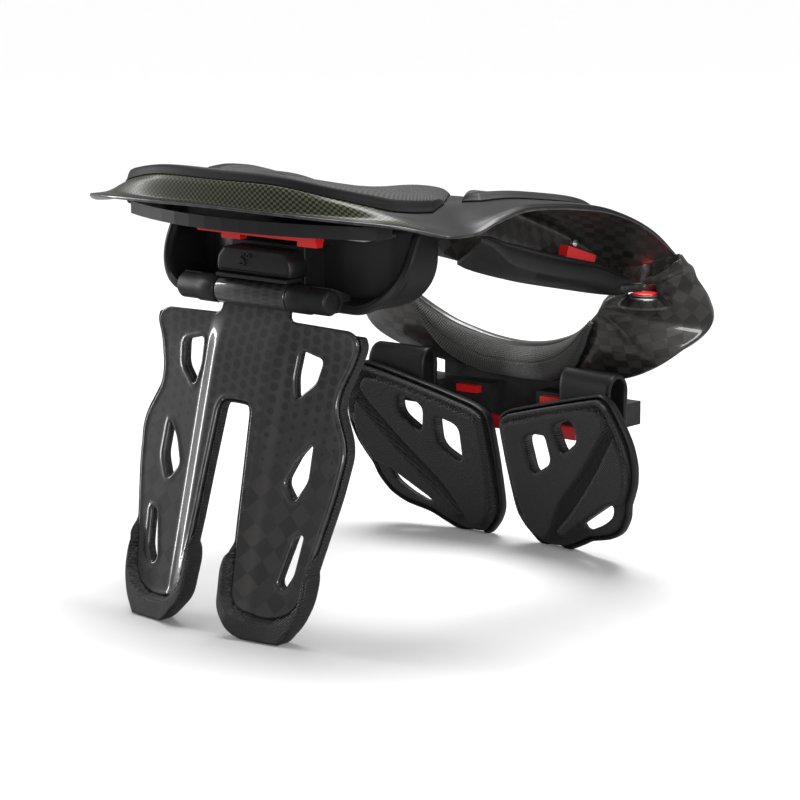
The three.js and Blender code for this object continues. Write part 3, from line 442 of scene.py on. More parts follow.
def loft(name, rings, materials, closed_ends=True):
    """Closed body through rings of points."""
    rings = np.asarray(rings, float)
    n, m = rings.shape[:2]
    r, c = np.meshgrid(np.arange(n - 1), np.arange(m), indexing="ij")
    r, c = r.ravel(), c.ravel()
    d = (c + 1) % m
    faces = np.stack([r * m + c, r * m + d, (r + 1) * m + d, (r + 1) * m + c], 1).tolist()
    if closed_ends:
        faces += [list(range(m - 1, -1, -1)), list(range((n - 1) * m, n * m))]
    uv = np.zeros((n, m, 2))
    uv[..., 0] = lengths(rings.mean(1))[:, None]
    uv[..., 1] = np.arange(m)[None] * 2.0
    return outwards(mesh_object(name, rings.reshape(-1, 3), faces, materials, uv.reshape(-1, 2)))


def union_edges(outers, holes):
    """Boundary segments of a union of loops, less the holes."""
    loops = outers + holes
    verts = np.concatenate(loops)
    edges, start = [], 0
    for loop in loops:
        edges += [(start + k, start + (k + 1) % len(loop)) for k in range(len(loop))]
        start += len(loop)
    points, faces = triangulated(verts, edges)
    return points, rim_of(faces[within(points[faces].mean(1), outers, holes)])


def triangulated(verts, edges):
    """Points and triangles that keep the edges."""
    out = delaunay_2d_cdt([Vector(v) for v in verts], edges, [], 0, 1e-4)
    return np.array([tuple(v) for v in out[0]]), np.array([f for f in out[2] if len(f) == 3])


def rim_of(faces):
    """Edges that belong to one face only, in the way that face runs."""
    e = np.concatenate([faces[:, [0, 1]], faces[:, [1, 2]], faces[:, [2, 0]]])
    key = np.sort(e, 1)
    _, first, count = np.unique(key, axis=0, return_index=True, return_counts=True)
    return e[first[count == 1]]


def field_sheet(name, outers, holes, rear_face, front_face, materials, pitch, rings=(0.4, 0.9, 1.6)):
    """Upright sheet whose two faces are functions of x, z and the distance from its rim.

    Rings of points follow the rim at the given distances, and the rest has one point every pitch."""
    outers, holes = [even(loop, 1.1) for loop in outers], [even(loop, 1.0) for loop in holes]
    points, rim = union_edges(outers, holes)
    used, rim = np.unique(rim, return_inverse=True)
    points, rim = points[used], rim.reshape(-1, 2)
    a, b = points[rim[:, 0]], points[rim[:, 1]]
    t = (b - a) / np.maximum(np.linalg.norm(b - a, axis=1, keepdims=True), 1e-9)
    n = np.stack([-t[:, 1], t[:, 0]], 1)
    extra = []
    for radius in rings:
        p = (a + b) / 2 + n * radius
        extra.append(p[distance_to(p, a, b) > 0.93 * radius])
    low, high = points.min(0), points.max(0)
    x, z = np.meshgrid(np.arange(low[0], high[0], pitch), np.arange(low[1], high[1], pitch * 0.87))
    x = x + (np.arange(len(x))[:, None] % 2) * pitch / 2
    p = np.stack([x.ravel(), z.ravel()], 1)
    p = p[within(p, outers, holes)]
    extra.append(p[distance_to(p, a, b) > rings[-1] + 0.45 * pitch])
    verts = np.concatenate([points, *extra])
    verts, faces = triangulated(verts, [tuple(map(int, e)) for e in rim])
    faces = faces[within(verts[faces].mean(1), outers, holes)]
    d = distance_to(verts, a, b)
    x, z = verts.T
    back = np.stack([x, rear_face(x, z, d), z], 1)
    ahead = np.stack([x, front_face(x, z, d), z], 1)
    edge = rim_of(faces)
    count = len(verts)
    sides = np.stack([edge[:, 1], edge[:, 0], edge[:, 0] + count, edge[:, 1] + count], 1)
    every = faces.tolist() + [f[::-1] for f in (faces + count).tolist()] + sides.tolist()
    uv = np.concatenate([verts, verts])
    return outwards(mesh_object(name, np.concatenate([back, ahead]), every, materials, uv))


def rounded_edge(d, radius):
    """How far a face stands back at distance d from its rim."""
    t = np.clip(d / radius, 0, 1)
    return radius * (1 - np.sqrt(np.maximum(1 - (1 - t)**2, 0)))


def lathe_x(name, profile, materials, closed_ends=True, count=72):
    """Body turned about the hinge axis from (x, radius) pairs."""
    angle = np.linspace(0, 2 * np.pi, count, endpoint=False)
    rings = [np.stack([0 * angle + x, r * np.cos(angle), r * np.sin(angle)], 1) for x, r in profile]
    return loft(name, rings, materials, closed_ends)


def turned(name, side, profile, materials, closed_ends=True, count=72):
    """Upright body from (radius, height) pairs, about the latch or, with side -1, about the ring's hinge."""
    x, y, top = LATCH
    angle = np.linspace(0, 2 * np.pi, count, endpoint=False)
    rings = [np.stack([side * x + r * np.cos(angle), y + r * np.sin(angle), 0 * angle + (top + z)], 1)
             for r, z in profile]
    return loft(name, rings, materials, closed_ends)


def cutter(side, radius, low, high):
    return turned("cutter", side, [(radius, low), (radius, high)], [], count=64)


def cut_with(obj, tools):
    """Cuts the tools out of a body and removes them."""
    active(obj)
    for tool in tools:
        mod = obj.modifiers.new("cut", "BOOLEAN")
        mod.operation, mod.object, mod.solver = "DIFFERENCE", tool, "EXACT"
        bpy.ops.object.modifier_apply(modifier=mod.name)
        bpy.data.objects.remove(tool, do_unlink=True)


def join(obj, *others):
    """Makes one object of several."""
    active(obj)
    for other in others:
        other.select_set(True)
    bpy.ops.object.join()
    return obj


# Shader node groups and materials.
FINISH = {}


class Graph:
    """Short ways to add nodes to a shader tree."""

    def __init__(self, tree):
        self.nodes, self.links = tree.nodes, tree.links

    def feed(self, socket, value):
        """Links a socket to another one, or sets it to a number or a colour."""
        if isinstance(value, bpy.types.NodeSocket):
            self.links.new(value, socket)
        elif isinstance(value, (int, float)):
            socket.default_value = value
        else:
            socket.default_value = (*value, 1)

    def calc(self, operation, *values):
        node = self.nodes.new("ShaderNodeMath")
        node.operation = operation
        for socket, value in zip(node.inputs, values):
            self.feed(socket, value)
        return node.outputs[0]

    def clamp(self, value):
        return self.calc("MINIMUM", self.calc("MAXIMUM", value, 0.0), 1.0)

    def parts(self, vector):
        node = self.nodes.new("ShaderNodeSeparateXYZ")
        self.feed(node.inputs[0], vector)
        return node.outputs

    def where(self):
        return self.nodes.new("ShaderNodeTexCoord").outputs["Object"]

    def noise(self, vector, scale, detail=2.0):
        node = self.nodes.new("ShaderNodeTexNoise")
        for label, value in (("Vector", vector), ("Scale", scale), ("Detail", detail)):
            self.feed(node.inputs[label], value)
        return node.outputs["Fac"]


class Effect(Graph):
    """A node group that several finishes share. Its outputs are values only."""

    def __init__(self, name, outputs, vector=True, **inputs):
        group = bpy.data.node_groups.new(name, "ShaderNodeTree")
        if vector:
            group.interface.new_socket(name="Vector", in_out="INPUT", socket_type="NodeSocketVector")
        for label, value in inputs.items():
            made = group.interface.new_socket(name=label, in_out="INPUT", socket_type="NodeSocketFloat")
            made.default_value = value
        for label in outputs:
            group.interface.new_socket(name=label, in_out="OUTPUT", socket_type="NodeSocketFloat")
        super().__init__(group)
        self.inputs = self.nodes.new("NodeGroupInput").outputs
        self.outputs = self.nodes.new("NodeGroupOutput").inputs

    def give(self, label, value):
        self.links.new(value, self.outputs[label])


def group_checks():
    """Spread-tow carbon: large squares laid corner to corner, each with its own grey and fine threads."""
    g = Effect("carbon_checks", ("Check", "Line", "Thread"), Side=0.01)
    x, y, _ = g.parts(g.inputs["Vector"])
    side = g.calc("MULTIPLY", g.inputs["Side"], math.sqrt(2))
    u = g.calc("DIVIDE", g.calc("ADD", x, y), side)
    v = g.calc("DIVIDE", g.calc("SUBTRACT", x, y), side)
    corner = [g.calc("FLOOR", u), g.calc("FLOOR", v)]
    parity = g.calc("ABSOLUTE", g.calc("MODULO", g.calc("ADD", *corner), 2.0))
    cell = g.nodes.new("ShaderNodeCombineXYZ")
    for socket, value in zip(cell.inputs, corner):
        g.feed(socket, value)
    white = g.nodes.new("ShaderNodeTexWhiteNoise")
    g.feed(white.inputs["Vector"], cell.outputs[0])
    own = g.calc("MULTIPLY", white.outputs["Value"], 0.45)
    g.give("Check", g.calc("ADD", g.calc("MULTIPLY", parity, 0.55), own))
    near = []
    for whole in (u, v):
        off = g.calc("ABSOLUTE", g.calc("SUBTRACT", g.calc("FRACT", whole), 0.5))
        rise = g.calc("MULTIPLY", g.calc("SUBTRACT", off, 0.44), 16.0)
        near.append(g.calc("SMOOTH_MIN", rise, 1.0, 0.1))
    g.give("Line", g.calc("MAXIMUM", g.calc("MAXIMUM", *near), 0.0))
    run = g.nodes.new("ShaderNodeMix")
    for label, value in (("Factor", parity), (2, u), (3, v)):
        g.feed(run.inputs[label], value)
    g.give("Thread", g.calc("ABSOLUTE", g.calc("SINE", g.calc("MULTIPLY", run.outputs[0], 62.0))))


def group_ovals():
    """Columns of ovals, each column half a step off the last, that shrink as Fade rises."""
    g = Effect("ovals", ("Mask",), Width=0.0081, Height=0.0073, Fade=0.0)
    x, y, _ = g.parts(g.inputs["Vector"])
    column = g.calc("DIVIDE", x, g.inputs["Width"])
    odd = g.calc("ABSOLUTE", g.calc("MODULO", g.calc("FLOOR", column), 2.0))
    down = g.calc("ADD", y, g.calc("MULTIPLY", x, 0.1))
    along = g.calc("ADD", g.calc("DIVIDE", down, g.inputs["Height"]), g.calc("MULTIPLY", odd, 0.5))
    fx = g.calc("SUBTRACT", g.calc("FRACT", column), 0.5)
    fy = g.calc("MULTIPLY", g.calc("SUBTRACT", g.calc("FRACT", along), 0.5), 0.88)
    away = g.calc("SQRT", g.calc("ADD", g.calc("MULTIPLY", fx, fx), g.calc("MULTIPLY", fy, fy)))
    radius = g.calc("SUBTRACT", 0.4, g.calc("MULTIPLY", g.inputs["Fade"], 0.4))
    g.give("Mask", g.clamp(g.calc("MULTIPLY", g.calc("SUBTRACT", radius, away), 14.0)))


def group_grain():
    """Moulded grain: fine height and a wide, weak stain."""
    g = Effect("grain", ("Height", "Stain"), vector=False, Scale=1400.0)
    where = g.where()
    g.give("Height", g.noise(where, g.inputs["Scale"]))
    g.give("Stain", g.noise(where, 28.0, 4.0))


def group_edge_highlight():
    """Painted highlight: pale on the outer edges, broken up by noise, where the light catches the edges."""
    g = Effect("edge_highlight", ("Mask",), vector=False, Amount=0.3)
    point = g.nodes.new("ShaderNodeNewGeometry").outputs["Pointiness"]
    edge = g.calc("MULTIPLY", g.calc("SUBTRACT", point, 0.515), 14.0)
    spots = g.calc("MULTIPLY", edge, g.noise(g.where(), 90.0, 5.0))
    g.give("Mask", g.clamp(g.calc("MULTIPLY", spots, g.inputs["Amount"])))


def group_ribs():
    """Ribbed mesh: slanted ribs crossed by finer threads, and the light that their tops catch."""
    g = Effect("ribs", ("Height", "Top"), Pitch=0.0015, Slant=1.0)
    x, y, _ = g.parts(g.inputs["Vector"])
    slanted = g.calc("ADD", x, g.calc("MULTIPLY", y, g.inputs["Slant"]))
    rib = g.calc("SINE", g.calc("MULTIPLY", g.calc("DIVIDE", slanted, g.inputs["Pitch"]), math.tau))
    fine = g.calc("SINE", g.calc("MULTIPLY", g.calc("DIVIDE", y, g.inputs["Pitch"]), math.tau * 1.3))
    height = g.calc("ADD", rib, g.calc("MULTIPLY", fine, 0.45))
    g.give("Height", height)
    g.give("Top", g.calc("MULTIPLY_ADD", height, 0.33, 0.5))


def group_dots():
    """Dimpled mesh of the foam pads."""
    g = Effect("dimples", ("Height",), Pitch=0.0016)
    x, y, _ = g.parts(g.inputs["Vector"])
    turns = [g.calc("DIVIDE", v, g.inputs["Pitch"]) for v in (x, y)]
    waves = [g.calc("SINE", g.calc("MULTIPLY", turn, math.tau)) for turn in turns]
    g.give("Height", g.calc("MULTIPLY", *waves))


class Paint(Graph):
    """A Principled material under construction, kept in FINISH under its name."""

    def __init__(self, name, rough, metal=0.0, coat=0.0, coat_rough=0.05, specular=0.5, sheen=0.0):
        material = bpy.data.materials.new(name)
        material.use_nodes = True
        super().__init__(material.node_tree)
        self.shader = self.nodes["Principled BSDF"]
        for label, value in (("Roughness", rough), ("Metallic", metal), ("Coat Weight", coat),
                             ("Coat Roughness", coat_rough), ("Specular IOR Level", specular),
                             ("Sheen Weight", sheen)):
            self.shader.inputs[label].default_value = value
        FINISH[name] = material

    def group(self, name, **values):
        node = self.nodes.new("ShaderNodeGroup")
        node.node_tree = bpy.data.node_groups[name]
        for label, value in values.items():
            self.feed(node.inputs[label], value)
        return node.outputs

    def uv(self):
        node = self.nodes.new("ShaderNodeUVMap")
        node.uv_map = "lay"
        return node.outputs[0]

    def mix(self, factor, a, b):
        node = self.nodes.new("ShaderNodeMix")
        node.data_type = "RGBA"
        for socket, value in ((node.inputs[0], factor), (node.inputs[6], a), (node.inputs[7], b)):
            self.feed(socket, value)
        return node.outputs[2]

    def colour(self, socket):
        self.links.new(socket, self.shader.inputs["Base Color"])

    def rough(self, socket):
        self.links.new(socket, self.shader.inputs["Roughness"])

    def bump(self, height, distance, strength):
        node = self.nodes.new("ShaderNodeBump")
        node.inputs["Strength"].default_value = strength
        node.inputs["Distance"].default_value = distance
        self.links.new(height, node.inputs["Height"])
        self.links.new(node.outputs[0], self.shader.inputs["Normal"])


def paints(s):
    """Makes all finishes of the brace from its settings."""
    for make in (group_checks, group_ovals, group_grain, group_edge_highlight, group_ribs, group_dots):
        make()

    p = Paint("carbon_check", 0.34, coat=0.85, coat_rough=0.06)
    weave = p.group("carbon_checks", Vector=p.uv(), Side=s.tow_width * 0.8)
    tone = p.mix(weave["Check"], s.shell_dark, s.shell_light)
    tone = p.mix(p.calc("MULTIPLY", weave["Line"], 0.35), tone, (0.006, 0.006, 0.006))
    p.colour(tone)
    p.rough(p.calc("MULTIPLY_ADD", weave["Check"], -0.16, 0.46))
    p.bump(weave["Thread"], 0.00002, 0.5)

    p = Paint("carbon_strut", 0.36, coat=0.9, coat_rough=0.07)
    uv = p.uv()
    height = p.parts(uv)[1]
    down = p.clamp(p.calc("MULTIPLY_ADD", height, -13.0, -0.62))
    weave = p.group("carbon_checks", Vector=uv, Side=s.tow_width * 1.02)
    dots = p.group("ovals", Vector=uv, Fade=down)
    ground = p.mix(0.8, s.carbon_dark, s.carbon_light)
    low = p.mix(weave["Check"], s.carbon_dark, s.carbon_light)
    ground = p.mix(p.calc("MULTIPLY_ADD", down, 0.75, 0.12), ground, low)
    p.colour(p.mix(p.calc("MULTIPLY", dots["Mask"], 0.85), ground, (0.006, 0.0055, 0.0065)))
    p.bump(weave["Thread"], 0.00001, 0.4)

    p = Paint("table_coat", 0.38, coat=0.25, coat_rough=0.2, specular=0.35)
    grain = p.group("grain", Scale=900.0)
    highlight = p.group("edge_highlight", Amount=0.5)
    weave = p.group("carbon_checks", Vector=p.uv(), Side=s.tow_width)
    tone = p.mix(p.calc("MULTIPLY", weave["Check"], 0.35), s.table_dark, s.table_light)
    # painted highlight: convex edges mixed towards pale grey, broken up by noise
    p.colour(p.mix(highlight["Mask"], tone, (0.05, 0.05, 0.052)))
    p.rough(p.calc("MULTIPLY_ADD", grain["Stain"], 0.16, 0.3))
    p.bump(grain["Height"], 0.00002, 0.3)

    p = Paint("band_weave", 0.42, coat=0.25, coat_rough=0.22, specular=0.35)
    fine = p.group("dimples", Vector=p.uv(), Pitch=0.0034)
    bar = p.clamp(p.calc("MULTIPLY_ADD", fine["Height"], 3.0, 0.35))
    p.colour(p.mix(bar, s.band_dark, s.band_olive))
    p.bump(fine["Height"], 0.00004, 0.4)

    p = Paint("ribbed_mesh", 0.6, sheen=0.12, specular=0.35)
    ribs = p.group("ribs", Vector=p.uv(), Pitch=s.rib_pitch * 1.25, Slant=-0.1)
    stain = p.group("grain", Scale=2400.0)
    # painted highlight and shade: rib tops mixed towards the pale rib colour as lit, the gaps between them
    # left dark
    tone = p.mix(ribs["Top"], s.mesh_dark, s.mesh_rib_highlight)
    p.colour(p.mix(p.calc("MULTIPLY", stain["Stain"], 0.35), tone, (0.02, 0.02, 0.021)))
    p.bump(ribs["Height"], 0.00016, 0.9)

    p = Paint("throat_mesh", 0.56, sheen=0.12, specular=0.4)
    ribs = p.group("ribs", Vector=p.uv(), Pitch=s.rib_pitch * 0.95, Slant=-0.25)
    # painted highlight and shade: rib tops mixed towards the pale rib colour as lit, the gaps between them
    # left dark
    tone = p.mix(ribs["Top"], s.mesh_dark, s.mesh_rib_highlight)
    where = p.where()
    spot = p.nodes.new("ShaderNodeVectorMath")
    spot.operation = "DISTANCE"
    p.links.new(where, spot.inputs[0])
    spot.inputs[1].default_value = tuple(place([12, 262, -86]))
    # pale patch round a point in the middle of the throat pad: fades out within about 21 mm and is broken up
    # by noise
    pale_patch = p.calc("MULTIPLY_ADD", spot.outputs["Value"], -45.0, 0.95)
    pale_patch = p.calc("MULTIPLY", p.calc("MAXIMUM", pale_patch, 0.0), p.noise(where, 420.0, 6.0))
    p.colour(p.mix(p.calc("MINIMUM", pale_patch, 0.6), tone, (0.3, 0.3, 0.3)))
    p.bump(ribs["Height"], 0.00018, 0.9)

    p = Paint("dimpled_foam", 0.4, specular=0.5, sheen=0.04)
    dots = p.group("dimples", Vector=p.uv(), Pitch=0.0017)
    grain = p.group("grain", Scale=1600.0)
    p.colour(p.mix(grain["Stain"], s.foam_dark, s.foam_light))
    p.rough(p.calc("MULTIPLY_ADD", grain["Stain"], 0.2, 0.32))
    p.bump(dots["Height"], 0.00026, 0.9)

    for name, rough, tone, light in (("moulded", 0.42, s.plastic_dark, s.plastic_light),
                                     ("rubber", 0.5, s.rubber_dark, s.rubber_light)):
        p = Paint(name, rough, specular=0.33)
        grain = p.group("grain", Scale=1900.0)
        highlight = p.group("edge_highlight", Amount=0.45)
        # painted highlight: convex edges mixed towards pale grey, broken up by noise
        p.colour(p.mix(highlight["Mask"], p.mix(grain["Stain"], tone, light), (0.045, 0.045, 0.047)))
        p.rough(p.calc("MULTIPLY_ADD", grain["Stain"], 0.2, rough - 0.1))
        p.bump(grain["Height"], 0.00006, 0.5)

    p = Paint("red_lock", 0.34, coat=0.25, coat_rough=0.2)
    grain = p.group("grain", Scale=1500.0)
    p.colour(p.mix(grain["Stain"], s.lock_red, [c * 0.8 for c in s.lock_red]))
    p.bump(grain["Height"], 0.00004, 0.4)

    p = Paint("brushed_steel", 0.28, metal=1.0)
    stretch = p.nodes.new("ShaderNodeMapping")
    stretch.inputs["Scale"].default_value = (12, 900, 900)
    p.feed(stretch.inputs[0], p.where())
    lines = p.noise(stretch.outputs[0], 1.0)
    p.colour(p.mix(lines, (0.5, 0.51, 0.53), (0.72, 0.73, 0.75)))
    p.rough(p.calc("MULTIPLY_ADD", lines, 0.2, 0.18))

    p = Paint("studio_floor", 0.9, specular=0.2)
    grain = p.group("grain", Scale=300.0)
    pale = p.mix(grain["Stain"], (0.9, 0.9, 0.9), (0.93, 0.93, 0.93))
    seen = p.nodes.new("ShaderNodeLightPath").outputs["Is Camera Ray"]
    p.colour(p.mix(seen, (0.3, 0.3, 0.3), pale))


def colour_of(name, text, value):
    return bpy.props.FloatVectorProperty(name=name, description=text, default=value, size=3, min=0, max=1,
                                         subtype="COLOR")


def length_of(name, text, value):
    return bpy.props.FloatProperty(name=name, description=text, default=value, unit="LENGTH")


class BraceFinish(bpy.types.PropertyGroup):
    """Colours and scales of the finishes."""
    tow_width: length_of("Tow width", "Side of one carbon square", 0.0105)
    rib_pitch: length_of("Rib pitch", "Distance between the ribs of the mesh", 0.0019)
    carbon_dark: colour_of("Carbon, dark", "Squares that lie away from the light", (0.007, 0.0068, 0.007))
    carbon_light: colour_of("Carbon, light", "Squares that lie towards the light", (0.036, 0.033, 0.032))
    shell_dark: colour_of("Shell, dark", "Dark squares of the shells", (0.006, 0.0058, 0.0056))
    shell_light: colour_of("Shell, light", "Light squares of the shells", (0.052, 0.046, 0.042))
    table_dark: colour_of("Table, dark", "Satin coat of the table", (0.006, 0.006, 0.0065))
    table_light: colour_of("Table, light", "Squares that show through the coat", (0.014, 0.0138, 0.0135))
    band_dark: colour_of("Band, dark", "Ground of the band", (0.004, 0.0044, 0.0035))
    band_olive: colour_of("Band, olive", "Threads of the band", (0.085, 0.095, 0.05))
    mesh_dark: colour_of("Mesh, dark", "Between the ribs", (0.006, 0.006, 0.006))
    # painted highlight: the paler colour that the rib tops get as lit
    mesh_rib_highlight: colour_of("Mesh, light", "On the ribs", (0.055, 0.052, 0.049))
    foam_dark: colour_of("Foam, dark", "Foam of paddles and strut", (0.009, 0.009, 0.0098))
    foam_light: colour_of("Foam, light", "Foam where it is dusty", (0.018, 0.018, 0.0195))
    plastic_dark: colour_of("Plastic, dark", "Moulded pieces", (0.006, 0.006, 0.0068))
    plastic_light: colour_of("Plastic, light", "Moulded pieces where they are dusty", (0.012, 0.012, 0.0135))
    rubber_dark: colour_of("Rubber, dark", "Rear facet and welts", (0.003, 0.003, 0.0035))
    rubber_light: colour_of("Rubber, light", "Rear facet and welts, dusty", (0.007, 0.007, 0.0075))
    lock_red: colour_of("Lock red", "Locks and release button", (0.86, 0.016, 0.016))


class BraceForm(bpy.types.PropertyGroup):
    """Sizes that the dressed pieces add to the solids."""
    shell_wall: length_of("Shell wall", "Thickness of the carbon", 0.002)
    rear_foam: length_of("Rear foam", "Thickness of the rear pad", 0.0052)
    side_foam: length_of("Side foam", "Thickness of the side pads", 0.0044)
    front_foam: length_of("Throat foam", "Thickness of the throat pad", 0.0095)
    strut_lip: length_of("Strut lip", "Height of the lip round the strut", 0.0006)
    paddle_foam: length_of("Paddle foam", "Height of the paddles' panels", 0.0093)
    groove: length_of("Groove", "Depth of the paddles' grooves", 0.0056)


class Builder:
    """What the operators share."""
    bl_options = {"REGISTER", "UNDO"}


def dress(node, finish, width):
    """A solid that keeps its shape gets a finish and rounded edges."""
    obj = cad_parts[node]
    obj.data.materials.clear()
    obj.data.materials.append(FINISH[finish])
    bevel(obj, width, 30)


def swap(obj, body, node, slot):
    """The dressed piece rides a body in place of a solid. The slot argument is not used."""
    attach(obj, body)
    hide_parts(node)
    return obj


class BRACE_OT_finishes(Builder, bpy.types.Operator):
    """Make the finishes"""
    bl_idname = "brace.finishes"
    bl_label = "Finishes"

    def execute(self, context):
        paints(context.scene.brace_finish)
        return {"FINISHED"}


class BRACE_OT_rear_shell(Builder, bpy.types.Operator):
    """Rear shell with its flange, woven band and the roofs of the side channels"""
    bl_idname = "brace.rear_shell"
    bl_label = "Rear shell"

    def execute(self, context):
        form = context.scene.brace_form
        section = np.linspace(-rear.last, rear.last, 241)[:, None]
        stretches = ((0, 0.9, 6), (1, 2, 14), (2.06, REAR_END, 60))
        column = np.concatenate([np.linspace(*stretch) for stretch in stretches])[None]
        outer = rear(section, column)
        inner = outer - rear.normal(section, column) * mm(form.shell_wall)
        middle = (section[:-1, 0] + section[1:, 0]) / 2
        across = (column[0, :-1] + column[0, 1:]) / 2

        def kind(r, c):
            s, k = np.abs(middle[r]), across[c]
            band = (s < 3.6) & (k > 0.6) & (k < 2.75 - 1.7 * smoothstep(s, 2.2, 3.6))
            wall = k > 5.05
            return np.where(band, 1, np.where(wall, 2, 0))
        finishes = [FINISH["table_coat"], FINISH["band_weave"], FINISH["carbon_check"]]
        obj = sheet("ring_rear_shell", outer, inner, finishes, kind)
        swap(obj, "rear_half", "rear_shell", slot="carbon")
        return {"FINISHED"}


def skin_pad(name, first, last, rim, reach, thick, kind, rows, columns):
    """Pad on the rear shell with a full rounded edge and a sewn channel."""
    t = np.linspace(0, 1, rows)[:, None]
    section = first + (last - first) * t
    start = reading(rim, np.abs(section))
    across = np.linspace(0, 1, columns)[None]
    column = start + (reach - start) * across
    ends = 1 - np.abs(2 * t - 1)**14
    edge = smoothstep(across, 0, 0.1) * (1 - 0.75 * smoothstep(across, 0.86, 1.0))
    swell = 1 + 0.16 * np.sin(np.pi * np.clip(across * 1.3, 0, 1))
    height = 0.45 + thick * (0.12 + 0.88 * ends * edge) * swell
    normal = rear.normal(section, column)
    base = rear(section, column)
    channel = 0.9 * np.exp(-((across - 0.3) / 0.012)**2) * ends
    outer = base + normal * (height - channel)[..., None]
    return sheet(name, outer, base + normal * 0.35, [FINISH["ribbed_mesh"], FINISH["rubber"]], kind, edge=0.2)


class BRACE_OT_rear_pads(Builder, bpy.types.Operator):
    """Ribbed pads on the rear shell and on the shoulders"""
    bl_idname = "brace.rear_pads"
    bl_label = "Rear and side pads"

    def execute(self, context):
        form = context.scene.brace_form
        end, rows, columns = 4.55, 200, 48

        def kind(r, c):
            s = -end + 2 * end * (r + 0.5) / (rows - 1)
            facet = (np.abs(s) < 1.15) & (c < columns * 0.11)
            welt = c < columns * 0.07
            return np.where(facet | welt, 1, 0)
        pad = skin_pad("neck_rear_pad", -end, end, REAR_RIM, 5.5, mm(form.rear_foam), kind, rows, columns)
        swap(pad, "rear_half", "rear_pad", slot="mesh_pad")

        side_rows, side_columns = 120, 44

        def side_kind(r, c):
            return np.where(c < side_columns * 0.16, 1, 0)
        for side, (first, last) in (("right", (5.35, 9.9)), ("left", (-9.9, -5.35))):
            pad = skin_pad(f"shoulder_{side}_pad", first, last, SIDE_RIM, 5.4, mm(form.side_foam), side_kind,
                           side_rows, side_columns)
            swap(pad, "rear_half", f"side_pad_{side}", slot="mesh_pad")
        return {"FINISHED"}


# Front band: depth of its hollow, depth of its turned rims and their radius, in millimetres.
BAND_HOLLOW, BAND_RIM, RIM_RADIUS = 4.0, 5.0, 1.6


def front_point(section, column, offset):
    """Point of the front band, offset away from the body."""
    forward = front.normal(section, np.full_like(section, 0.5) + 0 * column, edge=0.1)
    forward = forward * np.where(forward[..., 1:2] < 0, -1, 1)
    depth = offset - BAND_HOLLOW * np.sin(np.pi * np.clip(column, 0, 1))
    return front(section, column) + forward * depth[..., None], forward


class BRACE_OT_front_shell(Builder, bpy.types.Operator):
    """Front band of carbon with turned rims"""
    bl_idname = "brace.front_shell"
    bl_label = "Front shell"

    def execute(self, context):
        wall = mm(context.scene.brace_form.shell_wall)
        section = np.linspace(-front.last, front.last, 201)[:, None]
        column = np.linspace(0, 1, 40)[None]
        groove = 3.0 * np.exp(-((np.abs(section) - 8.35) / 0.22)**2) * smoothstep(column, 0.25, 0.5)
        face, forward = front_point(section, column, 0 * section * column)
        face = face + forward * groove[..., None]
        forward = forward[:, 0]
        across = face[:, -1] - face[:, 0]
        across = across / np.linalg.norm(across, axis=-1, keepdims=True)

        def rim(edge, sign, inset):
            """Lines of a turned rim from its lip to the face of the band."""
            radius = RIM_RADIUS - inset
            lines = [edge + forward * BAND_RIM - sign * across * inset]
            for angle in np.linspace(0, np.pi / 2, 5)[:-1]:
                lines.append(edge + forward * (RIM_RADIUS - radius * math.sin(angle))
                             - sign * across * (RIM_RADIUS - radius * math.cos(angle)))
            return lines

        def skin(inset, shift):
            middle = [face[:, k] + forward * shift for k in range(1, 39)]
            return np.stack(rim(face[:, 0], -1, inset) + middle + rim(face[:, -1], 1, inset)[::-1], 1)
        outer, inner = skin(0.0, 0.0), skin(wall * 0.999, wall)
        obj = sheet("ring_front_shell", outer, inner, [FINISH["carbon_check"]], edge=0.3)
        cut_with(obj, [cutter(1, 11.4, -11.3, 60), cutter(-1, 11.4, -11.3, 60), cutter(-1, 14.9, 2, 70)])
        for side in (1, -1):
            join(obj, turned("collar", side, COLLAR, [FINISH["carbon_check"]], False))
        join(obj, self.inner_wall())
        by_angle(obj, 40)
        swap(obj, "front_half", "front_shell", slot="carbon")
        return {"FINISHED"}

    def inner_wall(self):
        """Wall of the right shoulder between the latch and the roof of the rear shell."""
        column = np.linspace(0.03, 0.97, 100)
        foot, _ = front_point(np.full(100, float(front.last)), column, 0 * column)
        roof = rear(np.full(60, float(rear.last)), np.linspace(0, 4.9, 60))[::-1]
        from_latch = foot[:, 0] - LATCH[0]
        niche = np.abs(from_latch) < 12
        lowest = np.where(foot[:, 0] < 106, -30, -7.5)
        low = np.where(niche, LATCH[2] - 1, np.maximum(foot[:, 2] - 0.5, lowest))
        high = np.maximum(np.interp(foot[:, 0], roof[:, 0], roof[:, 2]) - 0.4, low + 0.6)
        depth = np.where(niche, LATCH[1] + np.sqrt(np.maximum(150 - from_latch**2, 0)), foot[:, 1] + 1.4)
        v = np.linspace(0, 1, 8)[None]
        z = low[:, None] * (1 - v) + high[:, None] * v
        y = np.broadcast_to(depth[:, None], z.shape)
        x = np.broadcast_to(foot[:, :1], z.shape)
        rear_side, front_side = (np.stack([x, y + half_wall, z], 2) for half_wall in (-0.8, 0.8))
        return sheet("inner_wall", rear_side, front_side, [FINISH["carbon_check"]])


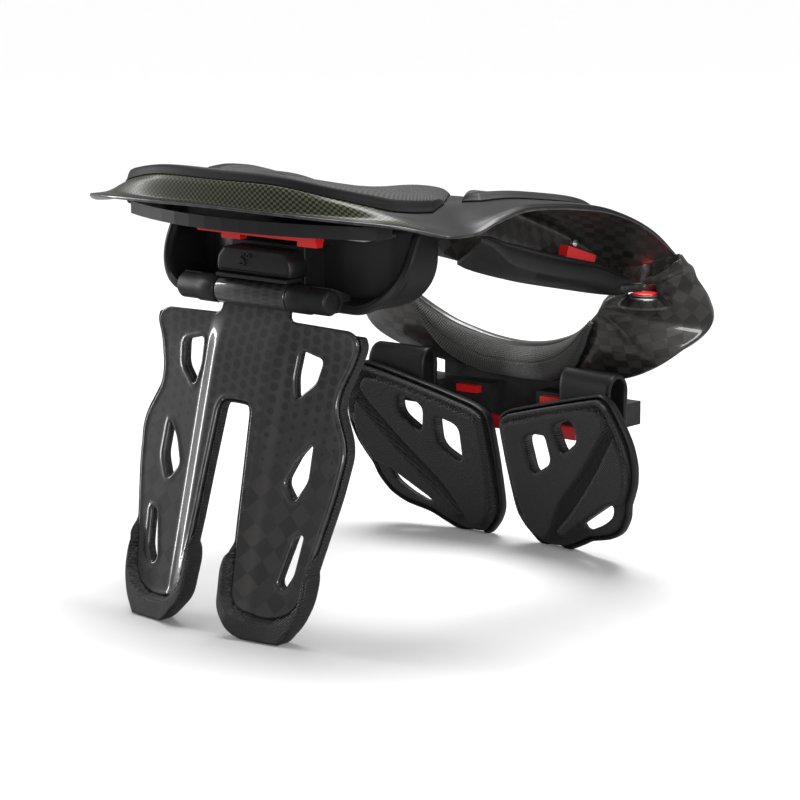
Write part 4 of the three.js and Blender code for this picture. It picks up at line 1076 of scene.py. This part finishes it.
class BRACE_OT_throat_pad(Builder, bpy.types.Operator):
    """Ribbed pad at the throat"""
    bl_idname = "brace.throat_pad"
    bl_label = "Throat pad"

    def execute(self, context):
        form = context.scene.brace_form
        first = front.last - FRONT_RIM[0][0]
        t = np.linspace(-1, 1, 161)[:, None]
        section = first * t
        reach = reading(FRONT_RIM, front.last - np.abs(section))
        across = np.linspace(0, 1, 45)[None]
        ends = np.clip(1 - np.abs(t)**5, 0, 1)
        puff = 0.16 + 0.84 * np.sqrt(ends) * np.clip(1 - np.abs(2 * across - 1)**3.2, 0, 1)**0.75
        seam = 1.0 * np.exp(-((across - 0.36) / 0.014)**2) + 0.5 * np.exp(-((across - 0.9) / 0.02)**2)
        column = reach * across
        height = mm(form.front_foam) * puff - seam * ends
        outer, _ = front_point(section + 0 * across, column, -height - 0.35)
        inner, _ = front_point(section + 0 * across, column, -0.35 + 0 * column)
        obj = sheet("throat_pad", outer, inner, [FINISH["throat_mesh"], FINISH["rubber"]],
                    lambda r, c: np.where((c < 1) | (c > 41), 1, 0), edge=0.25)
        swap(obj, "front_half", "front_pad", slot="mesh_pad")
        return {"FINISHED"}


def arm_rings(side, count=90):
    """Floor and double lip of a side channel."""
    lips = shares([row[1] for row in ARM])
    t = np.linspace(0, len(ARM) - 1, count)
    lip = spline(lips, t)
    section = np.interp(t, range(len(ARM)), [row[0] for row in ARM])
    height = np.interp(t, range(len(ARM)), [row[2] for row in ARM]) * RING[2] / 100
    inner = rear(section, np.full_like(section, REAR_END))
    out = lip - inner
    out[:, 2] = 0
    out /= np.linalg.norm(out, axis=1, keepdims=True)
    start = inner - out * 1.5
    start[:, 2] -= 1.2
    low = lip[:, 2] - height
    thick = np.minimum(3.0, height * 0.5)
    middle = start + (lip - start) * 0.55
    floor = (start[:, 2] + low) / 2 + 1

    def at(base, shift, z):
        p = base + out * np.reshape(shift, (-1, 1))
        p[:, 2] = z
        return p
    h = height
    rows = [at(start, 0, start[:, 2]), at(middle, 0, floor), at(lip, -thick - 1, low + thick),
            at(lip, -thick, lip[:, 2] - 0.6), at(lip, -thick * 0.6, lip[:, 2]),
            at(lip, -thick * 0.25, lip[:, 2]), at(lip, 0.1, lip[:, 2] - 0.5),
            at(lip, 0.3, lip[:, 2] - 0.1 * h), at(lip, -0.5, lip[:, 2] - 0.16 * h),
            at(lip, -0.5, lip[:, 2] - 0.2 * h), at(lip, 0.9, lip[:, 2] - 0.27 * h),
            at(lip, 1.3, low + h * 0.5), at(lip, 1.0, low + h * 0.3), at(lip, 0, low + h * 0.1),
            at(lip, -1.6, low - 0.2), at(middle, 0, floor - thick), at(start, 1, start[:, 2] - thick),
            at(start, 0, start[:, 2] - thick * 0.6)]
    rings = np.stack(rows, 1)
    if side < 0:
        rings = rings * [-1, 1, 1]
    return rings


class BRACE_OT_arms(Builder, bpy.types.Operator):
    """Shoulder arms with their tongues"""
    bl_idname = "brace.arms"
    bl_label = "Shoulder arms"

    def execute(self, context):
        for side, name in ((1, "right"), (-1, "left")):
            obj = loft(f"arm_{name}", arm_rings(side), [FINISH["moulded"]])
            outline = even(closed(np.array(TONGUE) + LATCH[:2], 0.35), 1.2) * [side, 1]
            rings = [np.concatenate([grown(outline, g), np.full((len(outline), 1), LATCH[2] + z)], 1)
                     for z, g in TONGUE_LEVELS]
            tongue = loft(f"tongue_{name}", rings, [FINISH["moulded"]])
            if side > 0:
                # both make room for the latch
                cut_with(tongue, [cutter(side, 11.35, -20, 30)])
                cut_with(obj, [cutter(side, 11.35, -60, 30)])
            else:
                # both leave the room under the eye free
                cut_with(tongue, [cutter(side, 17.6, -60, 3)])
                cut_with(obj, [cutter(side, 17.6, -60, 3)])
                join(tongue, turned("eye", side, EYE, [FINISH["moulded"]], False, 64))
            join(obj, tongue)
            by_angle(obj, 40)
            swap(obj, "rear_half", f"shoulder_arm_{name}", slot="plastic")
        return {"FINISHED"}


def strut_face(x, z):
    """Depth of the strut's front face."""
    ax = np.abs(x)
    panel = 5 * (1 - smoothstep(ax, 22, 38))
    wings = 0.12 * np.maximum(0, ax - 31)
    return 4 + 0.257 * z + (wings - panel) * smoothstep(-z, 6, 40)


def strut_loops(growth=0, hole_growth=0):
    """Outline and windows of the strut."""
    half = shares(STRUT)
    full = np.concatenate([half, both(half[1:-1])[::-1]])
    holes = [grown(even(cornered(shares(h), 3.6), 1), hole_growth) for h in STRUT_HOLES]
    return grown(even(cornered(full, 7), 1.1), growth), holes + [both(h) for h in holes]


class BRACE_OT_strut(Builder, bpy.types.Operator):
    """Forked carbon strut with its sleeve, and the foam behind it"""
    bl_idname = "brace.strut"
    bl_label = "Back strut"

    def execute(self, context):
        form = context.scene.brace_form
        outline, holes = strut_loops()

        def rear_face(x, z, d):
            lip = mm(form.strut_lip) * np.exp(-((d - 1.9) / 1.1)**2) * smoothstep(-z, 16, 22)
            return strut_face(x, z) - 2.6 - lip + rounded_edge(d, 1.0)
        plate = field_sheet("strut_carbon", [outline], holes, rear_face,
                            lambda x, z, d: strut_face(x, z) - rounded_edge(d, 0.5),
                            [FINISH["carbon_strut"]], 1.8, (0.3, 0.8, 1.4, 2.1, 2.9, 3.9))
        join(plate, lathe_x("sleeve", SLEEVE, [FINISH["carbon_strut"]]))
        by_angle(plate, 45)
        swap(plate, "rear_strut", "strut_plate", slot="carbon")

        outline, holes = strut_loops(2.2, 1.2)
        top = -0.24 * RING[2]
        outline = even(outline, 1.1)
        outline = np.stack([outline[:, 0], np.minimum(outline[:, 1], top)], 1)
        outline = outline[~((outline[:, 1] >= top - 1e-6) & (np.abs(outline[:, 0]) < 46))]
        foot = above_floor(even(cornered(shares(STRUT_FOOT), 6), 1.1))

        def behind(x, z, d):
            return strut_face(x, z) + 7 - rounded_edge(d, 3.4) + 1.2 * np.exp(-((d - 7) / 1.4)**2)

        def near(x, z, d):
            past_plate = -depth_in(np.stack([x, z], 1), STRUT_EDGE)
            foot_lip = 6.5 * smoothstep(-z, 148, 158)
            lip = (2.4 + foot_lip) * smoothstep(past_plate, 0.45, 1.5)
            return strut_face(x, z) + 0.4 - lip + rounded_edge(d, 1.8)
        pad = field_sheet("strut_foam", [outline, foot, both(foot)], holes, near, behind,
                          [FINISH["dimpled_foam"]], 2.2, (0.4, 0.9, 1.6, 2.4, 3.3))
        swap(pad, "rear_strut", "strut_pad", slot="foam")
        pin = by_angle(lathe_x("strut_hinge_pin", HINGE_ROD, [FINISH["brushed_steel"]]))
        swap(pin, "rear_strut", "strut_pin", slot="steel")
        return {"FINISHED"}


STRUT_EDGE = even(strut_loops()[0], 1.4)


def tray_line(inset):
    """The tray's U outline, or a line inside it."""
    half, low, radius = TRAY["half"] - inset, TRAY["bottom"] + inset, TRAY["corner"] - inset
    angle = np.linspace(np.pi / 2, 0, 40)
    arc = np.stack([half - radius + radius * np.cos(angle), low + radius - radius * np.sin(angle)], 1)
    flat = np.stack([np.linspace(0, half - radius, 14, endpoint=False), np.full(14, low)], 1)
    up = np.stack([np.full(8, half), np.linspace(low + radius, TRAY["top"], 9)[1:]], 1)
    right = np.concatenate([flat, arc, up])
    return np.concatenate([both(right[1:])[::-1], right])


def tray_rim(line):
    """Depth of the tray's open rim along a line."""
    x, z = np.abs(line[:, 0]), line[:, 1]
    rise = np.clip((z - TRAY["bottom"]) / (TRAY["top"] - TRAY["bottom"]), 0, 1)
    return 12 + 24 * rise * smoothstep(x, 50, TRAY["half"])


def tray_back(x):
    """Depth of the tray's front wall."""
    return 32 + 20 * smoothstep(np.abs(x), 40, TRAY["half"])


class BRACE_OT_bracket(Builder, bpy.types.Operator):
    """Tray under the table with its knuckles, the angle key and the lock bar"""
    bl_idname = "brace.bracket"
    bl_label = "Strut bracket"

    def execute(self, context):
        line, inner_line = tray_line(0), tray_line(TRAY["wall"])
        rim = tray_rim(line)
        t = np.linspace(0, 1, 16)[None, :, None]

        def row(outline, y):
            return np.stack([outline[:, 0], y, outline[:, 1]], 1)[:, None]
        outer = row(line, rim) * (1 - t) + row(line, tray_back(line[:, 0])) * t
        inner = row(inner_line, rim) * (1 - t) + row(inner_line, tray_back(inner_line[:, 0]) - 0.5) * t
        lip = smoothstep(t[..., 0], 0, 0.22)
        direction = (inner - outer) / np.linalg.norm(inner - outer, axis=2, keepdims=True)
        outer = outer - direction * (1.2 * (1 - lip))[..., None]
        tray = sheet("bracket_tray", outer, inner, [FINISH["moulded"]], edge=0.45)
        # front wall of the tray, with two upright ribs
        x = np.broadcast_to(np.linspace(-1, 1, 41)[:, None] * 98.5, (41, 14))
        right = inner_line[inner_line[:, 0] >= 0]
        z0 = np.interp(np.abs(x), right[:, 0], right[:, 1]) - 1
        z = z0 + (TRAY["top"] - z0) * np.linspace(0, 1, 14)[None]
        depth = tray_back(x)
        ribs = 1.6 * np.exp(-((np.abs(x) - 84) / 3.0)**2)
        rear_side, front_side = np.stack([x, depth - 3.4 - ribs, z], 2), np.stack([x, depth - 0.4, z], 2)
        parts = [sheet("bracket_wall", rear_side, front_side, [FINISH["moulded"]])]
        for side in (1, -1):
            parts.append(lathe_x("knuckle", [(side * x, r) for x, r in KNUCKLE], [FINISH["moulded"]], False))
            x0, x1 = sorted(side * end for end in KNUCKLE_ENDS)
            rings = [np.insert(WEB, 0, v, axis=1) for v in (x0, x0 + 0.01, x1 - 0.01, x1)]
            parts.append(loft("web", rings, [FINISH["moulded"]]))
        parts.append(box_body("key_seat", (-31, 31), (10.3, 31), (-6, 31)))
        join(tray, *parts)
        by_angle(tray, 38)
        swap(tray, "rear_half", "strut_bracket", slot="plastic")

        swap(self.key(), "rear_half", "angle_key", slot="plastic")
        dress("mount_plate", "moulded", 0.0012)
        dress("spring_plate", "brushed_steel", 0.0003)
        dress("bracket_lock", "red_lock", 0.0008)
        return {"FINISHED"}

    def key(self):
        """Block with a rounded face and a raised number."""
        outline = closed(KEY, 0.3, 8) * [0.9, 1] + [2, 0]
        rings = [np.insert(grown(outline, g), 1, y, axis=1) for y, g in KEY_LEVELS]
        block = loft("angle_block", rings, [FINISH["moulded"]])
        ledge = box_body("ledge", (-28, 32), (-8, 7), (9.4, 11.9))
        curve = bpy.data.curves.new("number", "FONT")
        curve.body = "5\u00b0"
        curve.size, curve.extrude, curve.bevel_depth = 0.0115, 0.0007, 0.0001
        curve.align_x, curve.align_y = "CENTER", "CENTER"
        text = bpy.data.objects.new("number", curve)
        bpy.context.scene.collection.objects.link(text)
        active(text)
        bpy.ops.object.convert(target="MESH")
        text = bpy.context.view_layer.objects.active
        turn = Matrix.Rotation(math.radians(90), 4, "X")
        text.data.transform(Matrix.Translation(Vector(place([-4, -6.2, 20.8]))) @ turn)
        text.data.materials.clear()
        text.data.materials.append(FINISH["moulded"])
        join(block, ledge, text)
        return by_angle(block, 38)


def box_body(name, xs, ys, zs):
    """Moulded block with rounded edges."""
    rings = [[[x, ys[0], zs[0]], [x, ys[1], zs[0]], [x, ys[1], zs[1]], [x, ys[0], zs[1]]] for x in xs]
    obj = loft(name, rings, [FINISH["moulded"]])
    bevel(obj, 0.0008)
    active(obj)
    bpy.ops.object.modifier_apply(modifier="edges")
    return obj


def paddle_face(x, z):
    """Depth of the face between a paddle's foam and its plate."""
    return 226 + 0.29 * (-86 - z) + 8 * (1 - (x / 104)**2)


class BRACE_OT_paddles(Builder, bpy.types.Operator):
    """Chest paddles: moulded foam on plastic carriers with sprung straps"""
    bl_idname = "brace.paddles"
    bl_label = "Chest paddles"

    def execute(self, context):
        form = context.scene.brace_form
        foam, groove = mm(form.paddle_foam), mm(form.groove)
        loop = closed(shares(PADDLE), 0.4)
        holes = [even(cornered(shares(h), 6), 1) for h in PADDLE_HOLES]
        panel, crescent = closed(shares(PADDLE_PANEL), 0.35), closed(shares(PADDLE_CRESCENT), 0.35)

        def relief(x, z):
            """Height of the foam: panel and crescent with a groove between them, and a rim above."""
            p = np.stack([x, z], 1)
            a = smoothstep(depth_in(p, panel), -1.1, 1.3)
            b = smoothstep(depth_in(p, crescent), -1.0, 1.8)
            upper = np.maximum(smoothstep(z, -140, -122), 1 - smoothstep(x, 16, 30))
            rim = (groove - 0.8) * (1 - smoothstep(depth_in(p, loop), 6.4, 8.2)) * upper
            return foam - groove + np.maximum(groove * a + (groove - 0.6) * b * (1 - a), rim)
        for side, name in ((1, "right"), (-1, "left")):
            mirror = np.array([side, 1])

            def rear_face(x, z, d):
                return paddle_face(x, z) - 0.3 - relief(x * side, z) + rounded_edge(d, 2.2)
            pad = field_sheet(f"paddle_foam_{name}", [above_floor(grown(loop, -3.2) * mirror)],
                              [grown(h, 0.4) * mirror for h in holes], rear_face,
                              lambda x, z, d: paddle_face(x, z) - 0.35, [FINISH["dimpled_foam"]], 1.7)
            swap(pad, "front_half", f"paddle_pad_{name}", slot="foam")

            def lip_face(x, z, d):
                outer = depth_in(np.stack([x * side, z], 1), loop)
                lip = 4.2 * (1 - smoothstep(outer, 1.9, 2.7)) * (z < -60)
                return paddle_face(x, z) - lip + rounded_edge(np.minimum(d, outer), 1.2)
            plate = field_sheet(f"paddle_plate_{name}", [above_floor(loop * mirror)],
                                [grown(h, 1.5) * mirror for h in holes], lip_face,
                                lambda x, z, d: paddle_face(x, z) + 2.6 - rounded_edge(d, 1.0),
                                [FINISH["moulded"]], 2.4)
            x = np.linspace(*STRAP_SIDES, 20)[:, None] * side
            near, far = paddle_face(x, STRAP_ENDS[0]) + 0.5, SLIDER_FACE - STRAP_GAP

            def route(inset):
                """The strap's way up from the plate, over the bend and down the slider."""
                angle = np.linspace(0, np.pi, 40)[None]
                a, b = near + inset, far - inset + 0 * x
                y = np.concatenate([a, a + (b - a) * (1 - np.cos(angle)) / 2, b], 1)
                z = STRAP_BEND[0] + (STRAP_BEND[1] - inset) * np.sin(angle) + 0 * x
                z = np.concatenate([STRAP_ENDS[0] + 0 * x, z, STRAP_ENDS[1] + 0 * x], 1)
                return np.stack([x + 0 * y, y, z], 2)
            strap = sheet(f"strap_{name}", route(0), route(3.4), [FINISH["moulded"]], edge=0.45)
            join(plate, strap)
            by_angle(plate, 45)
            swap(plate, "front_half", f"paddle_carrier_{name}", slot="plastic")
        return {"FINISHED"}


class BRACE_OT_locks(Builder, bpy.types.Operator):
    """Latch, hinge, length adjusters and the rail of the paddles"""
    bl_idname = "brace.locks"
    bl_label = "Latch and locks"

    def execute(self, context):
        for name, side, profile, finish, body, node, slot in (
                ("latch_post", 1, LATCH_POST, "moulded", "front_half", "latch_housing", "plastic"),
                ("release_button_cap", 1, BUTTON, "red_lock", "button", "release_button", "red_plastic"),
                ("hinge_post", -1, HINGE_POST, "moulded", "front_half", "hinge_housing", "plastic"),
                ("hinge_screw", -1, HINGE_SCREW, "brushed_steel", "front_half", "hinge_pin", "steel")):
            piece = by_angle(turned(name, side, profile, [FINISH[finish]]))
            swap(piece, body, node, slot=slot)
        for side in ("right", "left"):
            for part, finish, width in (("size_rail", "moulded", 0.0008), ("size_lock", "red_lock", 0.001),
                                        ("size_ball", "brushed_steel", 0.0001), ("slider", "moulded", 0.0012),
                                        ("rail_bar", "red_lock", 0.001), ("rail_lock", "red_lock", 0.001)):
                dress(f"{part}_{side}", finish, width)
        dress("front_rail", "moulded", 0.0028)
        return {"FINISHED"}


class BRACE_OT_stage(Builder, bpy.types.Operator):
    """Pale floor, soft lights and the camera"""
    bl_idname = "brace.stage"
    bl_label = "Stage"

    def execute(self, context):
        scene = context.scene
        mesh = bpy.data.meshes.new("floor")
        reach, low = 9, -0.0005
        corners = [(-reach, -reach, low), (reach, -reach, low), (reach, reach, low), (-reach, reach, low)]
        mesh.from_pydata(corners, [], [(0, 1, 2, 3)])
        mesh.materials.append(FINISH["studio_floor"])
        floor = bpy.data.objects.new("floor", mesh)
        scene.collection.objects.link(floor)
        world = bpy.data.worlds.new("studio")
        scene.world = world
        world.use_nodes = True
        sky = Graph(world.node_tree)
        colour, strength = sky.nodes["Background"].inputs[:2]
        sky.feed(colour, (1, 1, 1))
        seen = sky.nodes.new("ShaderNodeLightPath").outputs["Is Camera Ray"]
        sky.feed(strength, sky.calc("MULTIPLY_ADD", seen, 0.72, 0.28))
        scene.view_settings.view_transform = "Standard"
        data = bpy.data.lights.new("daylight", "SUN")
        data.energy, data.angle = 2.7, math.radians(40)
        sun = bpy.data.objects.new("daylight", data)
        scene.collection.objects.link(sun)
        sun.rotation_euler = (math.radians(-14), math.radians(-12), 0)
        for name, spot, size, power in (("overhead", (0.1, 0.4, 1.7), (0.9, 0.9), 10),
                                        ("left_strip", (-1.75, -0.45, 0.55), (0.16, 1.3), 11),
                                        ("right_strip", (1.9, 0.3, 0.8), (0.3, 1.4), 9),
                                        ("low_fill", (1.5, -1.5, 0.5), (1.0, 0.5), 16)):
            data = bpy.data.lights.new(name, "AREA")
            data.shape, data.size, data.size_y, data.energy = "RECTANGLE", size[0], size[1], power
            lamp = bpy.data.objects.new(name, data)
            scene.collection.objects.link(lamp)
            lamp.location = spot
            lamp.rotation_euler = (Vector((0, 0, 0.17)) - Vector(spot)).to_track_quat("-Z", "Y").to_euler()
        self.camera(scene)
        return {"FINISHED"}

    def camera(self, scene):
        """The camera looks from behind the right shoulder, a little from above.

        pixels is the focal length in pixels of a frame frame_px wide; hinge_px is where the hinge shows."""
        turn, rise = math.radians(40), math.radians(10.8)
        pixels, frame_px, hinge_px, depth = 3000.0, 800.0, (257.0, 293.2), 1.875
        right = Vector((math.cos(turn), math.sin(turn), 0))
        back = Vector((math.sin(turn) * math.cos(rise), -math.cos(turn) * math.cos(rise), math.sin(rise)))
        up = back.cross(right)
        across = (hinge_px[0] - frame_px / 2) / pixels * depth
        above = (frame_px / 2 - hinge_px[1]) / pixels * depth
        data = bpy.data.cameras.new("camera")
        data.sensor_width = 36
        data.lens = 36 * pixels / frame_px
        camera = bpy.data.objects.new("camera", data)
        scene.collection.objects.link(camera)
        spot = Vector(AXIS) - right * across - up * above + back * depth
        turn_matrix = Matrix((right, up, back)).transposed().to_4x4()
        camera.matrix_world = Matrix.Translation(spot) @ turn_matrix
        scene.camera = camera


class BRACE_PT_panel(bpy.types.Panel):
    """Lists the pieces of the brace"""
    bl_idname = "BRACE_PT_panel"
    bl_label = "Neck brace"
    bl_space_type = "VIEW_3D"
    bl_region_type = "UI"
    bl_category = "Neck brace"

    def draw(self, context):
        column = self.layout.column(align=True)
        for operator in OPERATORS:
            column.operator(operator.bl_idname)
        for group in (context.scene.brace_form, context.scene.brace_finish):
            for name in group.bl_rna.properties.keys():
                if name not in ("rna_type", "name"):
                    column.prop(group, name)


OPERATORS = (BRACE_OT_finishes, BRACE_OT_rear_shell, BRACE_OT_rear_pads, BRACE_OT_front_shell,
             BRACE_OT_throat_pad, BRACE_OT_arms, BRACE_OT_strut, BRACE_OT_bracket, BRACE_OT_paddles,
             BRACE_OT_locks, BRACE_OT_stage)
CLASSES = (BraceFinish, BraceForm, *OPERATORS, BRACE_PT_panel)


def register():
    for cls in CLASSES:
        bpy.utils.register_class(cls)
    bpy.types.Scene.brace_finish = bpy.props.PointerProperty(type=BraceFinish)
    bpy.types.Scene.brace_form = bpy.props.PointerProperty(type=BraceForm)


def unregister():
    del bpy.types.Scene.brace_form
    del bpy.types.Scene.brace_finish
    for cls in reversed(CLASSES):
        bpy.utils.unregister_class(cls)


def main():
    register()
    for operator in OPERATORS:
        space, name = operator.bl_idname.split(".")
        getattr(getattr(bpy.ops, space), name)()


if __name__ == "__main__":
    main()
